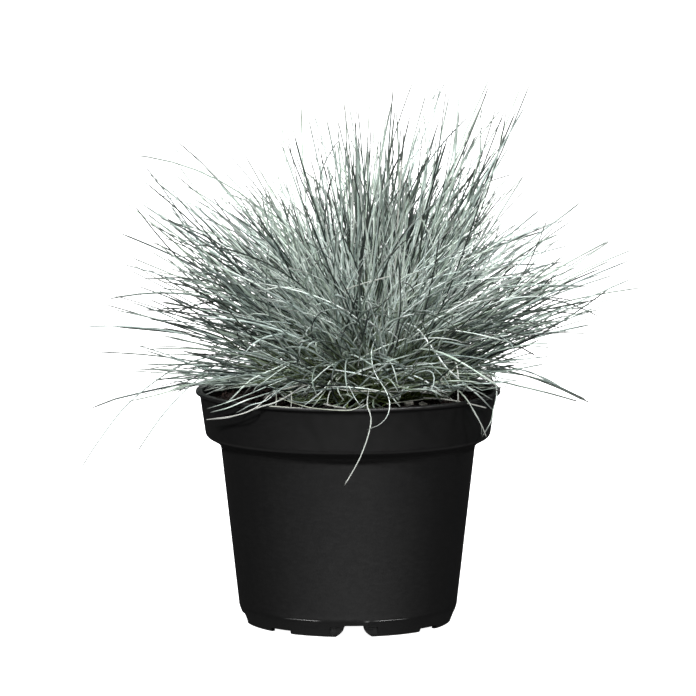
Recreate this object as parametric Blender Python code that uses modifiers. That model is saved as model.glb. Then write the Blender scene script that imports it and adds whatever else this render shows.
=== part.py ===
"""Potted clump of fine blue-grey ornamental grass, in a round black nursery pot.

Metres, +Z up. The origin is on the pot's axis at the level of its foot, and the side that is
usually seen faces -Y. The pot is a thin moulded shell with a wide collar, a narrow lip and a
notched foot. Compost fills it, the crown of the plant sits in the compost a little to the +X
side, and the leaves rise from the crown in forked tufts, tier above tier.
"""

import math
import random

import bmesh
import bpy
from mathutils import Matrix, Vector

GAP = 0.0003  # between pieces that touch
MERGE = 0.00001

# The pot
LIP_RADIUS = 0.085
LIP_THICKNESS = 0.0018
LIP_EDGE = 0.0006  # of the lip's broken outer edge
POT_HEIGHT = 0.130
WALL = 0.0014
COLLAR_TOP_RADIUS = 0.0828
COLLAR_FOOT_RADIUS = 0.0794
COLLAR_FOOT_HEIGHT = 0.1049
COLLAR_ROUND = 0.0020
SHOULDER_LEDGE = 0.0006  # that the collar's wall is thicker at its foot
SHOULDER_DROP = 0.0013  # of the inner face below the outer one at the collar's foot
NECK_RISE = 0.0007  # of the inner face above the outer one at the neck
NECK_RADIUS = 0.0712
NECK_HEIGHT = 0.0996
WALL_FOOT_RADIUS = 0.0613
WALL_FOOT_HEIGHT = 0.0117
FOOT_RADIUS = 0.0576
FOOT_WIDTH = 0.0024
FOOT_DRAFT = 0.0006  # that the foot's inner face leans in up to the base
TOE_DEPTH = 0.0040  # of the middle of the foot's rounded outer edge, inside the foot
TOE_HEIGHT = 0.0075
TOE_INSET = 0.0002
BASE_HEIGHT = 0.0070
BASE_THICKNESS = 0.0014
BASE_CORNER = 0.0016  # across the inner corner at the base
BASE_CORNER_RISE = 0.0026
POT_STEPS = 46

# Openings in the pot's foot and base
NOTCH_TURN = 3.2  # degrees from the front towards +X
NOTCH_COUNT = 4
NOTCH_HEIGHT = 0.0062
NOTCH_TOP_WIDTH = 0.0098
NOTCH_FOOT_WIDTH = 0.0186
NOTCH_ROUND = 0.0022
NOTCH_FLARE = 0.0008
RECESS_WIDTH = 0.0255
RECESS_HEIGHT = 0.0056
RECESS_DEPTH = 0.0009
SLOT_TURN = 47.0  # of the low slots, from the notches
SLOT_WIDTH = 0.0139
SLOT_HEIGHT = 0.0020
CUT_BELOW = 0.002  # that a cutter reaches below the floor
CUT_OUTSIDE = 0.075  # radius that a cutter reaches to
CUT_INSIDE = 0.004  # that a cutter reaches in past the foot
DRAIN_RADIUS = 0.0045
DRAIN_RING = 0.044
DRAIN_COUNT = 8

# The compost
COMPOST_GAP = 2 * GAP
COMPOST_SIDE_HEIGHT = 0.1222
COMPOST_MOUND_HEIGHT = 0.1246
COMPOST_ROUGHNESS = 0.0005
COMPOST_STEPS = 24

# The crown: a cap of a ball whose centre lies down in the compost
CROWN_X = 0.012
CROWN_Y = 0.0
CROWN_FOCUS_HEIGHT = 0.1115
CROWN_RADIUS = 0.0260
CROWN_FOOT_HEIGHT = COMPOST_MOUND_HEIGHT + 2 * GAP
CROWN_STEPS = 16

# The tufts
TUFT_FOOT_RADIUS = 0.0021
TUFT_CLEARANCE = 0.0009
FORK_AT = 0.34  # of a tuft's length
LOBES = 4
VALLEY = 0.52  # of the ridges' distance from the tuft's middle
TRUNK_STATIONS = (0.0, 0.30, 0.64, 1.0)  # of the way to the fork
TINE_STATIONS = (0.34, 0.68)  # of the way from the fork to a tip
TINE_LENGTHS = (1.0, 0.90, 0.96, 0.85)
PATH_STEPS = 60

# The tiers of tufts, from the upright heart down to the skirt over the lip. Azimuths run from
# +X towards +Y, and step is the angle between neighbours. ring is where on the crown a tier
# rises, lean and fall are its angles from upright at foot and tip, a haste under 1 bends it
# early, and width and depth are half those of a tuft at its fork. Angles are in degrees.
TUFT_SEED = 11
SIDE_GAIN = 0.01
LEFT_GAIN = 0.06
FRONT_GAIN = 0.03
TINE_SPREAD = 3.2  # of a tine from the tuft's middle line at its tip, against the fork
TUFT_TURN = 0.5  # radians from one tuft's ridges to the next one's
TIERS = {
    "heart": dict(
        count=3, first=40.0, step=120.0, ring=7.0, lean=6.0, fall=9.0, haste=1.0,
        length=0.165, width=0.0066, depth=0.0066,
    ),
    "upper": dict(
        count=7, first=12.0, step=360.0 / 7, ring=18.0, lean=19.0, fall=31.0, haste=1.0,
        length=0.168, width=0.0095, depth=0.0080,
    ),
    "middle": dict(
        count=10, first=-18.0, step=36.0, ring=30.0, lean=34.0, fall=53.0, haste=0.9,
        length=0.164, width=0.0110, depth=0.0080,
    ),
    "lower": dict(
        count=12, first=3.0, step=30.0, ring=41.0, lean=50.0, fall=74.0, haste=0.8,
        length=0.155, width=0.0125, depth=0.0085,
    ),
    "skirt": dict(
        count=10, first=-28.0, step=26.0, ring=52.0, lean=66.0, fall=95.0, haste=0.5,
        length=0.140, width=0.0110, depth=0.0060,
    ),
    "front": dict(
        count=2, first=-100.0, step=28.0, ring=52.0, lean=62.0, fall=80.0, haste=0.7,
        length=0.062, width=0.0060, depth=0.0040,
    ),
}

# Single leaves that have fallen over the lip, from the crown to the tip
STRAY_RADIUS = 0.00055
STRAY_SPAN_STEPS = 2
STRAY_ROUTES = {
    "stray_leaf_front": (
        (0.0130, -0.0222, 0.1292),
        (0.0120, -0.0450, 0.1352),
        (0.0108, -0.0720, 0.1356),
        (0.0104, -0.0860, 0.1316),
        (0.0124, -0.0878, 0.1255),
        (0.0110, -0.0888, 0.1165),
        (0.0060, -0.0896, 0.1030),
        (-0.0024, -0.0900, 0.0882),
    ),
    "stray_leaf_left": (
        (-0.0010, -0.0176, 0.1292),
        (-0.0220, -0.0340, 0.1365),
        (-0.0400, -0.0570, 0.1352),
        (-0.0456, -0.0680, 0.1322),
        (-0.0505, -0.0712, 0.1285),
        (-0.0600, -0.0668, 0.1242),
        (-0.0786, -0.0440, 0.1184),
    ),
    "stray_leaf_right": (
        (0.0272, -0.0160, 0.1292),
        (0.0420, -0.0310, 0.1368),
        (0.0570, -0.0465, 0.1366),
        (0.0640, -0.0545, 0.1324),
        (0.0685, -0.0580, 0.1250),
        (0.0725, -0.0560, 0.1180),
        (0.0760, -0.0530, 0.1094),
    ),
}

# Chips of bark on the compost in front of the crown: place, size and turn in degrees
CHIP_CLEARANCE = 0.0007
CHIPS = {
    "bark_chip_1": ((0.0335, -0.0260), (0.0050, 0.0034, 0.0016), 18.0),
    "bark_chip_2": ((0.0415, -0.0240), (0.0042, 0.0030, 0.0014), -35.0),
}


def clear_scene():
    """Removes every object of the open file."""
    for thing in list(bpy.data.objects):
        bpy.data.objects.remove(thing, do_unlink=True)


def new_collection(name):
    """A new collection in the scene."""
    group = bpy.data.collections.new(name)
    bpy.context.scene.collection.children.link(group)
    return group


def plain_material(name, colour, roughness):
    """A Principled material of one colour that isn't a metal."""
    material = bpy.data.materials.new(name)
    material.use_nodes = True
    shader = material.node_tree.nodes["Principled BSDF"]
    shader.inputs["Base Color"].default_value = (*colour, 1.0)
    shader.inputs["Roughness"].default_value = roughness
    shader.inputs["Metallic"].default_value = 0.0
    return material


def add_object(name, data, group, material=None):
    """An object for the data, in the group, in the material."""
    thing = bpy.data.objects.new(name, data)
    group.objects.link(thing)
    if material is not None:
        thing.data.materials.append(material)
    return thing


def arc(centre, radius, start, end, steps):
    """Points of an arc in the (radius, height) plane, with its angles in degrees."""
    points = []
    for i in range(steps + 1):
        angle = math.radians(start + (end - start) * i / steps)
        points.append((centre[0] + radius * math.cos(angle), centre[1] + radius * math.sin(angle)))
    return points


def profile_mesh(name, points):
    """A line of edges through (radius, height) points, in the plane of X and Z."""
    mesh = bpy.data.meshes.new(name)
    corners = [(r, 0.0, z) for r, z in points]
    mesh.from_pydata(corners, [(i, i + 1) for i in range(len(corners) - 1)], [])
    return mesh


def turned(name, points, steps, group, material):
    """A solid turned about Z from a profile that starts and ends on the axis."""
    thing = add_object(name, profile_mesh(name, points), group, material)
    screw = thing.modifiers.new("Turn", "SCREW")
    screw.steps = steps
    screw.render_steps = steps
    screw.use_merge_vertices = True
    screw.merge_threshold = MERGE
    screw.use_smooth_shade = True
    return thing


def made_mesh(thing):
    """Puts the shape that the modifiers give into the object's own mesh."""
    bpy.context.view_layer.update()
    finished = thing.evaluated_get(bpy.context.evaluated_depsgraph_get())
    mesh = bpy.data.meshes.new_from_object(finished)
    thing.modifiers.clear()
    thing.data = mesh
    work = bmesh.new()
    work.from_mesh(mesh)
    bmesh.ops.remove_doubles(work, verts=work.verts, dist=MERGE)
    work.to_mesh(mesh)
    work.free()
    return thing


def shade(mesh, angle):
    """Smooth shading that stays sharp past an angle in degrees."""
    mesh.shade_smooth()
    mesh.set_sharp_from_angle(angle=math.radians(angle))


def as_cutter(thing):
    """Marks an object that only cuts another."""
    thing.hide_render = True
    thing.display_type = "WIRE"
    return thing


def cut(thing, label, cutters):
    """Takes every object of a collection away from the thing."""
    modifier = thing.modifiers.new(label, "BOOLEAN")
    modifier.operation = "DIFFERENCE"
    modifier.operand_type = "COLLECTION"
    modifier.collection = cutters
    modifier.solver = "EXACT"


def turned_about_axis(angle):
    """A turn about Z, in degrees, in which 0 is the front of the pot, -Y, and 90 is +X."""
    return Matrix.Rotation(math.radians(angle), 4, "Z")


def wall_radius(height):
    """Outer radius of the pot's tapering wall at a height."""
    share = (height - WALL_FOOT_HEIGHT) / (NECK_HEIGHT - WALL_FOOT_HEIGHT)
    return WALL_FOOT_RADIUS + share * (NECK_RADIUS - WALL_FOOT_RADIUS)


def pot_inside(gap):
    """Profile of the pot's inner face, from the base up to the collar, set in by a gap."""
    floor = BASE_HEIGHT + BASE_THICKNESS + gap
    corner = floor + BASE_CORNER_RISE
    neck = NECK_HEIGHT + NECK_RISE
    ledge = COLLAR_FOOT_HEIGHT - SHOULDER_DROP
    return [
        (0.0, floor),
        (wall_radius(floor) - WALL - BASE_CORNER - gap, floor),
        (wall_radius(corner) - WALL - gap, corner),
        (wall_radius(neck) - WALL - gap, neck + gap),
        (COLLAR_FOOT_RADIUS - WALL - SHOULDER_LEDGE - gap, ledge + gap),
    ]


def collar_inside_radius(height):
    """Inner radius of the collar at a height."""
    share = (height - COLLAR_FOOT_HEIGHT) / (POT_HEIGHT - COLLAR_FOOT_HEIGHT)
    return COLLAR_FOOT_RADIUS + share * (COLLAR_TOP_RADIUS - COLLAR_FOOT_RADIUS) - WALL


def pot_profile():
    """The pot's section: up the inside, over the lip, down the outside and under the base."""
    lip_foot = POT_HEIGHT - LIP_THICKNESS
    toe = (FOOT_RADIUS - TOE_DEPTH, TOE_HEIGHT)
    points = pot_inside(0.0)
    points += [
        (collar_inside_radius(POT_HEIGHT), POT_HEIGHT),
        (LIP_RADIUS - LIP_EDGE, POT_HEIGHT),
        (LIP_RADIUS, POT_HEIGHT - LIP_EDGE),
        (LIP_RADIUS, lip_foot),
        (COLLAR_TOP_RADIUS, lip_foot - LIP_EDGE / 2),
        (COLLAR_FOOT_RADIUS, COLLAR_FOOT_HEIGHT),
    ]
    corner = (COLLAR_FOOT_RADIUS - COLLAR_ROUND, COLLAR_FOOT_HEIGHT)
    points += arc(corner, COLLAR_ROUND, -25.0, -65.0, 1)
    points += [(NECK_RADIUS, NECK_HEIGHT), (WALL_FOOT_RADIUS, WALL_FOOT_HEIGHT)]
    points += arc(toe, WALL_FOOT_RADIUS - toe[0] - TOE_INSET, -4.0, -58.0, 3)
    points += [
        (FOOT_RADIUS, 0.0),
        (FOOT_RADIUS - FOOT_WIDTH, 0.0),
        (FOOT_RADIUS - FOOT_WIDTH - FOOT_DRAFT, BASE_HEIGHT),
        (0.0, BASE_HEIGHT),
    ]
    return points


def notch_outline():
    """Half-bell outline of a notch: flared at the floor, round at its top corners."""
    half_top = NOTCH_TOP_WIDTH / 2
    half_foot = NOTCH_FOOT_WIDTH / 2
    shoulder = NOTCH_HEIGHT - NOTCH_ROUND
    right = [(half_foot, -CUT_BELOW), (half_foot, 0.0), (half_top + NOTCH_FLARE, shoulder)]
    right += arc((half_top - NOTCH_ROUND / 2, shoulder), NOTCH_ROUND, 0.0, 90.0, 3)
    left = [(-x, z) for x, z in reversed(right)]
    return right + left


def outline_cutter(name, outline, near, far, turn, group):
    """A flat outline, upright across -Y, drawn out from one radius to another and turned."""
    curve = bpy.data.curves.new(name, "CURVE")
    curve.dimensions = "2D"
    curve.fill_mode = "BOTH"
    curve.extrude = (far - near) / 2
    spline = curve.splines.new("POLY")
    spline.points.add(len(outline) - 1)
    for point, (x, z) in zip(spline.points, outline):
        point.co = (x, z, 0.0, 1.0)
    spline.use_cyclic_u = True
    drawn = add_object(name, curve, group)
    upright = Matrix.Rotation(math.radians(90.0), 4, "X")
    middle = Matrix.Translation((0.0, -(near + far) / 2, 0.0))
    drawn.matrix_world = turned_about_axis(turn) @ middle @ upright
    bpy.context.view_layer.update()
    finished = drawn.evaluated_get(bpy.context.evaluated_depsgraph_get())
    mesh = bpy.data.meshes.new_from_object(finished)
    work = bmesh.new()
    work.from_mesh(mesh)
    bmesh.ops.remove_doubles(work, verts=work.verts, dist=MERGE)
    work.to_mesh(mesh)
    work.free()
    cutter = add_object(name + "_cutter", mesh, group)
    cutter.matrix_world = drawn.matrix_world
    bpy.data.objects.remove(drawn, do_unlink=True)
    return as_cutter(cutter)


def box_outline(width, height):
    """A plain outline that stands a little below the floor."""
    half = width / 2
    return [(half, -CUT_BELOW), (half, height), (-half, height), (-half, -CUT_BELOW)]


def foot_openings(recesses, notches):
    """The four notches in their shallow recesses, and the four low slots between them."""
    inside = FOOT_RADIUS - FOOT_WIDTH - CUT_INSIDE
    face = FOOT_RADIUS - RECESS_DEPTH
    recess = box_outline(RECESS_WIDTH, RECESS_HEIGHT)
    slot = box_outline(SLOT_WIDTH, SLOT_HEIGHT)
    for k in range(NOTCH_COUNT):
        turn = NOTCH_TURN + 360.0 * k / NOTCH_COUNT
        outline_cutter(f"recess_{k}", recess, face, CUT_OUTSIDE, turn, recesses)
        outline_cutter(f"notch_{k}", notch_outline(), inside, CUT_OUTSIDE, turn, notches)
        outline_cutter(f"slot_{k}", slot, inside, CUT_OUTSIDE, turn + SLOT_TURN, notches)


def drain_hole(name, x, y, group):
    """A round cutter through the base."""
    bpy.ops.mesh.primitive_cylinder_add(
        vertices=12,
        radius=DRAIN_RADIUS,
        depth=3 * BASE_THICKNESS,
        location=(x, y, BASE_HEIGHT + BASE_THICKNESS / 2),
    )
    hole = bpy.context.object
    hole.name = name
    for other in list(hole.users_collection):
        other.objects.unlink(hole)
    group.objects.link(hole)
    return as_cutter(hole)


def drain_holes(group):
    """A ring of drain holes with one in the middle."""
    drain_hole("drain_middle", 0.0, 0.0, group)
    for k in range(DRAIN_COUNT):
        angle = 2 * math.pi * (k + 0.5) / DRAIN_COUNT
        drain_hole(f"drain_{k}", DRAIN_RING * math.cos(angle), DRAIN_RING * math.sin(angle), group)


def make_pot(group, cutters, material):
    """The moulded pot: one thin shell with its collar, lip, foot and raised base."""
    pot = turned("pot", pot_profile(), POT_STEPS, group, material)
    sets = {}
    for label in ("recesses", "notches", "drains"):
        sets[label] = bpy.data.collections.new(label)
        cutters.children.link(sets[label])
    foot_openings(sets["recesses"], sets["notches"])
    drain_holes(sets["drains"])
    for label, members in sets.items():
        cut(pot, label, members)
    return pot


def compost_height(x, y):
    """Height of the compost: level at the wall, mounded round the crown, uneven all over."""
    from_crown = math.hypot(x - CROWN_X, y - CROWN_Y)
    mound = math.exp(-((from_crown / 0.034) ** 2))
    swell = math.sin(95.0 * x + 1.3) * math.cos(80.0 * y - 0.4) + 0.6 * math.sin(150.0 * (x - y))
    rise = (COMPOST_MOUND_HEIGHT - COMPOST_SIDE_HEIGHT) * mound
    return COMPOST_SIDE_HEIGHT + rise + COMPOST_ROUGHNESS * swell * (1.0 - mound)


def make_compost(group, material):
    """The plug of compost that fills the pot, with its uneven top."""
    points = pot_inside(COMPOST_GAP)
    edge = collar_inside_radius(COMPOST_SIDE_HEIGHT) - COMPOST_GAP
    top = COMPOST_SIDE_HEIGHT
    points += [(edge, top), (0.062, top), (0.042, top), (0.022, top), (0.0, top)]
    points.reverse()
    compost = made_mesh(turned("compost", points, COMPOST_STEPS, group, material))
    for vertex in compost.data.vertices:
        if vertex.co.z > top - MERGE:
            vertex.co.z = compost_height(vertex.co.x, vertex.co.y)
    shade(compost.data, 50.0)
    return compost


def make_crown(group, material):
    """The packed leaf bases: a cap of a ball on the compost."""
    rise = CROWN_FOOT_HEIGHT - CROWN_FOCUS_HEIGHT
    start = math.degrees(math.asin(rise / CROWN_RADIUS))
    points = arc((0.0, CROWN_FOCUS_HEIGHT), CROWN_RADIUS, 90.0, start, 5)
    points[0] = (0.0, points[0][1])
    points.append((0.0, CROWN_FOOT_HEIGHT))
    crown = turned("crown", points, CROWN_STEPS, group, material)
    crown.location = (CROWN_X, CROWN_Y, 0.0)
    return crown


class Tuft:
    """One forked tuft: where it rises from the crown and how it leans over.

    ring is the angle from upright of its foot on the crown. lean and fall are the angles from
    upright of the tuft itself at its foot and at its tip, and haste under 1 bends it early.
    Angles are in degrees, and azimuth runs from +X towards +Y.
    """

    def __init__(self, name, azimuth, ring, lean, fall, haste, length, width, depth):
        self.name = name
        self.azimuth = math.radians(azimuth)
        self.ring = math.radians(ring)
        self.lean = math.radians(lean)
        self.fall = math.radians(fall)
        self.haste = haste
        self.length = length
        self.width = width
        self.depth = depth
        self.walk()

    def outward(self):
        """The level direction in which the tuft leans."""
        return Vector((math.cos(self.azimuth), math.sin(self.azimuth), 0.0))

    def tilt(self, share):
        """Angle from upright at a share of the length."""
        return self.lean + (self.fall - self.lean) * share**self.haste

    def walk(self):
        """Distance out and up along the middle line, summed in small steps."""
        ball = CROWN_RADIUS + TUFT_CLEARANCE
        out = ball * math.sin(self.ring)
        up = CROWN_FOCUS_HEIGHT + ball * math.cos(self.ring)
        self.line = [(out, up)]
        for i in range(PATH_STEPS):
            tilt = self.tilt((i + 0.5) / PATH_STEPS)
            out += math.sin(tilt) * self.length / PATH_STEPS
            up += math.cos(tilt) * self.length / PATH_STEPS
            self.line.append((out, up))

    def frame(self, share):
        """Middle point, sideways direction and upper direction at a share of the length."""
        place = share * PATH_STEPS
        i = min(int(place), PATH_STEPS - 1)
        rest = place - i
        out = self.line[i][0] * (1 - rest) + self.line[i + 1][0] * rest
        up = self.line[i][1] * (1 - rest) + self.line[i + 1][1] * rest
        outward = self.outward()
        middle = Vector((CROWN_X, CROWN_Y, up)) + outward * out
        tilt = self.tilt(share)
        side = Vector((-outward.y, outward.x, 0.0))
        upper = -outward * math.cos(tilt) + Vector((0.0, 0.0, math.sin(tilt)))
        return middle, side, upper

    def section(self, share_to_fork, turn):
        """Star-shaped section, ridge and valley by turns, as (across, deep) pairs."""
        grown = share_to_fork**0.8
        across = TUFT_FOOT_RADIUS + (self.width - TUFT_FOOT_RADIUS) * grown
        deep = TUFT_FOOT_RADIUS + (self.depth - TUFT_FOOT_RADIUS) * grown
        valley = 1.0 + (VALLEY - 1.0) * min(1.0, 0.4 + grown)
        pairs = []
        for i in range(2 * LOBES):
            angle = turn + math.pi * i / LOBES
            reach = 1.0 if i % 2 else valley
            pairs.append((across * reach * math.cos(angle), deep * reach * math.sin(angle)))
        return pairs


def tuft_mesh(tuft, turn, spread):
    """A fluted trunk that forks into four tines, each running out to a point.

    The last ring of the trunk is shared out among the tines: each takes two valleys, the ridge
    between them and the middle point. A tine shrinks evenly to its tip, while its own middle
    line moves away from the tuft's by spread times its distance at the fork.
    """
    work = bmesh.new()

    def corner(share, pair):
        middle, side, upper = tuft.frame(share)
        return work.verts.new(middle + side * pair[0] + upper * pair[1])

    rings = []
    for station in TRUNK_STATIONS:
        pairs = tuft.section(station, turn)
        rings.append([corner(station * FORK_AT, pair) for pair in pairs])
    count = 2 * LOBES
    work.faces.new(rings[0])
    for low, high in zip(rings, rings[1:]):
        for i in range(count):
            j = (i + 1) % count
            work.faces.new((low[i], high[i], high[j], low[j]))

    hub = corner(FORK_AT, (0.0, 0.0))
    last = tuft.section(1.0, turn)
    for k in range(LOBES):
        own = [2 * k, 2 * k + 1, (2 * k + 2) % count]
        start = [hub] + [rings[-1][i] for i in own]
        flat = [(0.0, 0.0)] + [last[i] for i in own]
        middle = (sum(p[0] for p in flat) / 4, sum(p[1] for p in flat) / 4)
        tip = TINE_LENGTHS[(k + int(turn * 7)) % LOBES]
        ring = start
        for station in TINE_STATIONS:
            share = FORK_AT + (tip - FORK_AT) * station
            move = 1.0 + (spread - 1.0) * station**1.2
            left = (1.0 - station) ** 0.8
            pairs = []
            for p in flat:
                across = middle[0] * move + (p[0] - middle[0]) * left
                deep = middle[1] * move + (p[1] - middle[1]) * left
                pairs.append((across, deep))
            following = [corner(share, pair) for pair in pairs]
            for i in range(4):
                j = (i + 1) % 4
                work.faces.new((ring[i], following[i], following[j], ring[j]))
            ring = following
        point = corner(tip, (middle[0] * spread, middle[1] * spread))
        for i in range(4):
            work.faces.new((ring[i], point, ring[(i + 1) % 4]))
    bmesh.ops.recalc_face_normals(work, faces=work.faces)
    mesh = bpy.data.meshes.new(tuft.name)
    work.to_mesh(mesh)
    work.free()
    shade(mesh, 60.0)
    return mesh


def length_share(azimuth):
    """Length of the leaves on a side of the clump, against the mean. Those on the -X side and
    at the front are longer, which brings the whole clump back over the middle of the pot."""
    outward = math.radians(azimuth)
    return 1.0 + SIDE_GAIN + LEFT_GAIN * -math.cos(outward) + FRONT_GAIN * -math.sin(outward)


def tuft_tiers():
    """The tufts, tier by tier, each a little off its even place."""
    chance = random.Random(TUFT_SEED)
    for name, tier in TIERS.items():
        for number in range(tier["count"]):
            azimuth = tier["first"] + tier["step"] * number
            yield Tuft(
                f"tuft_{name}_{number + 1:02d}",
                azimuth + chance.uniform(-2.0, 2.0),
                tier["ring"],
                tier["lean"] + chance.uniform(-1.0, 1.0),
                tier["fall"] + chance.uniform(-2.5, 2.5),
                tier["haste"],
                tier["length"] * length_share(azimuth) * chance.uniform(0.97, 1.0),
                tier["width"],
                tier["depth"],
            )


def make_tufts(group, material):
    """Every tuft as an object of its own."""
    for number, tuft in enumerate(tuft_tiers()):
        turn = math.pi / 4 + TUFT_TURN * number
        add_object(tuft.name, tuft_mesh(tuft, turn, TINE_SPREAD), group, material)


def smooth_route(points, span_steps):
    """Points of a smooth curve through the given ones, whose slope at each is that of the
    line between its two neighbours."""
    known = [Vector(p) for p in points]
    known = [2 * known[0] - known[1]] + known + [2 * known[-1] - known[-2]]
    route = []
    for before, here, there, after in zip(known, known[1:], known[2:], known[3:]):
        for i in range(span_steps):
            t = i / span_steps
            route.append(
                0.5
                * (
                    2 * here
                    + (there - before) * t
                    + (2 * before - 5 * here + 4 * there - after) * t**2
                    + (3 * here - before - 3 * there + after) * t**3
                )
            )
    return route + [known[-2]]


def make_strays(group, material):
    """The leaves that hang over the lip, each a thin tapering stem."""
    for name, points in STRAY_ROUTES.items():
        route = smooth_route(points, STRAY_SPAN_STEPS)
        curve = bpy.data.curves.new(name, "CURVE")
        curve.dimensions = "3D"
        curve.bevel_depth = STRAY_RADIUS
        curve.bevel_resolution = 0
        curve.use_fill_caps = True
        spline = curve.splines.new("POLY")
        spline.points.add(len(route) - 1)
        for i, (point, place) in enumerate(zip(spline.points, route)):
            point.co = (*place, 1.0)
            point.radius = 1.0 - 0.5 * i / len(route)
        add_object(name, curve, group, material)


def make_chips(group, material):
    """Flat chips with broken edges, lying on the compost."""
    for name, ((x, y), size, turn) in CHIPS.items():
        mesh = bpy.data.meshes.new(name)
        work = bmesh.new()
        bmesh.ops.create_cube(work, size=1.0)
        bmesh.ops.scale(work, vec=Vector(size), verts=work.verts)
        work.to_mesh(mesh)
        work.free()
        chip = add_object(name, mesh, group, material)
        chip.location = (x, y, compost_height(x, y) + CHIP_CLEARANCE + size[2] / 2)
        chip.rotation_euler = (0.0, 0.0, math.radians(turn))
        edges = chip.modifiers.new("Broken edges", "BEVEL")
        edges.width = 0.0004
        edges.segments = 1


def main():
    clear_scene()
    parts = new_collection("potted_grass_clump")
    cutters = new_collection("cutters")
    black = plain_material("black_plastic", (0.012, 0.012, 0.013), 0.62)
    earth = plain_material("compost", (0.035, 0.022, 0.014), 0.95)
    sheath = plain_material("leaf_base", (0.20, 0.22, 0.11), 0.70)
    leaf = plain_material("grass_leaf", (0.23, 0.28, 0.25), 0.60)
    bark = plain_material("bark", (0.12, 0.09, 0.07), 0.85)
    make_pot(parts, cutters, black)
    make_compost(parts, earth)
    make_crown(parts, sheath)
    make_tufts(parts, leaf)
    make_strays(parts, leaf)
    make_chips(parts, bark)


main()
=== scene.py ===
"""A potted clump of fine blue-grey ornamental grass, dressed for its picture.

Metres, +Z up. The origin is on the pot's axis at the level of its foot, and the side that is
usually seen faces -Y.
"""

import math
import random

import bpy
import numpy as np
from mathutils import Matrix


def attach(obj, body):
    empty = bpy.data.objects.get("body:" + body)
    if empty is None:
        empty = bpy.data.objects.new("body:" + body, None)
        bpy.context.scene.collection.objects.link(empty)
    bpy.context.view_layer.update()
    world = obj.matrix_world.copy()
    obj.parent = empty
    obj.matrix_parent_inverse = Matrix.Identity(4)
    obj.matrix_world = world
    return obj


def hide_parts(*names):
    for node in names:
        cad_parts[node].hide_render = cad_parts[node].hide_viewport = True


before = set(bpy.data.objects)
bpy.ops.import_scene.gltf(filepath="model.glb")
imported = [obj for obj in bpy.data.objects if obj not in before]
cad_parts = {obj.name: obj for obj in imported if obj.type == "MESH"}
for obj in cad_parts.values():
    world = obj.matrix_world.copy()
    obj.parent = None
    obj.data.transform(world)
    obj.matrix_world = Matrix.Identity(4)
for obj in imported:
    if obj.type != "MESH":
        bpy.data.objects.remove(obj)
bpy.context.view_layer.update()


# The pot. A plain round nursery pot of black polypropylene, moulded in one piece: a thin wall with a
# wide collar and a narrow lip, a rounded toe with the fine line where the mould closes, and a foot
# ring with four bell-shaped notches in shallow recesses and four low slots between them.

LIP_RADIUS = 0.085
LIP_THICKNESS = 0.0018
POT_HEIGHT = 0.130
WALL = 0.0014
COLLAR_TOP_RADIUS = 0.0828
COLLAR_FOOT_RADIUS = 0.0794
COLLAR_FOOT_HEIGHT = 0.1049
SHOULDER_LEDGE = 0.0006
SHOULDER_DROP = 0.0013
NECK_RISE = 0.0007
NECK_RADIUS = 0.0712
NECK_HEIGHT = 0.0996
WALL_FOOT_RADIUS = 0.0613
WALL_FOOT_HEIGHT = 0.0117
FOOT_RADIUS = 0.0576
FOOT_WIDTH = 0.0024
FOOT_DRAFT = 0.0006
BASE_HEIGHT = 0.0070
BASE_THICKNESS = 0.0014
BASE_CORNER = 0.0016
BASE_CORNER_RISE = 0.0026
INNER_ROUND = 0.0012
LIP_ROUND = 0.0007
LIP_FOOT_ROUND = 0.0006
LIP_FOOT_SLOPE = 0.0002
COLLAR_TOP_ROUND = 0.0009
COLLAR_FOOT_ROUND = 0.0019
SHOULDER_SLOPE = 0.0004
NECK_ROUND = 0.0030
NECK_INNER_ROUND = 0.0010
WALL_FOOT_ROUND = 0.0022
FOOT_ROUND = 0.0004
TOE_CORNERS = [(0.0002, 0.0092, 0.0016), (0.0017, 0.0050, 0.0018)]  # how far in, height and round
TOE_TOP = 0.016
TOE_STATIONS = [0, 20, 52, 72]  # the mould line is between the middle two
POT_STEPS = 288
ROUND_STEPS = 5
SHARP_ANGLE = 32.0  # from which an edge isn't smoothed

MOULD_LINE_HEIGHT = 0.0091
MOULD_LINE_WIDTH = 0.00045
MOULD_LINE_STANDS = 0.00020
MOULD_LINE_SPANS = ((-37.0, -12.0), (11.0, 35.0))  # degrees from the front towards +X
MOULD_LINE_FADE = 5.0  # degrees
GATE_TURN = 10.0
GATE_HEIGHT = 0.0084
GATE_RADIUS = 0.0008
GATE_STANDS = 0.0009

NOTCH_TURN = 3.2  # degrees from the front towards +X
NOTCH_COUNT = 4
NOTCH_HEIGHT = 0.0066
NOTCH_TOP_WIDTH = 0.0106
NOTCH_FOOT_WIDTH = 0.0200
NOTCH_FLARE = 2.2
NOTCH_ROUND = 0.0007
NOTCH_ROUND_STEPS = 6
NOTCH_SIDE_STEPS = 8
NOTCH_RUN_ON = 0.0004  # how much wider each side gets below the floor
RECESS_LEAN = 0.04  # how much the recess's face leans in towards the foot, as the toe does
RECESS_WIDTH = 0.0264
RECESS_HEIGHT = 0.0056
RECESS_DEPTH = 0.0009
OUTLINE_WIDTH = 0.0005
OUTLINE_DEPTH = 0.0012
SLOT_TURN = 47.0
SLOT_WIDTH = 0.0139
SLOT_HEIGHT = 0.0020
CUT_BELOW = 0.002
CUT_OUTSIDE = 0.075
CUT_INSIDE = 0.0472
DRAIN_RADIUS = 0.0045
DRAIN_RING = 0.044
DRAIN_COUNT = 8
PIN_SIDES = 32

PLASTIC_COLOUR = (0.0015, 0.0015, 0.0016, 1.0)
PLASTIC_WORN = (0.0024, 0.0024, 0.0023, 1.0)
# painted reflection: the lighter colour laid on the faces that look down, for the white table's light
PAINTED_TABLE_REFLECTION = (0.024, 0.024, 0.024, 1.0)
DUST_COLOUR = (0.015, 0.014, 0.013, 1.0)


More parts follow.
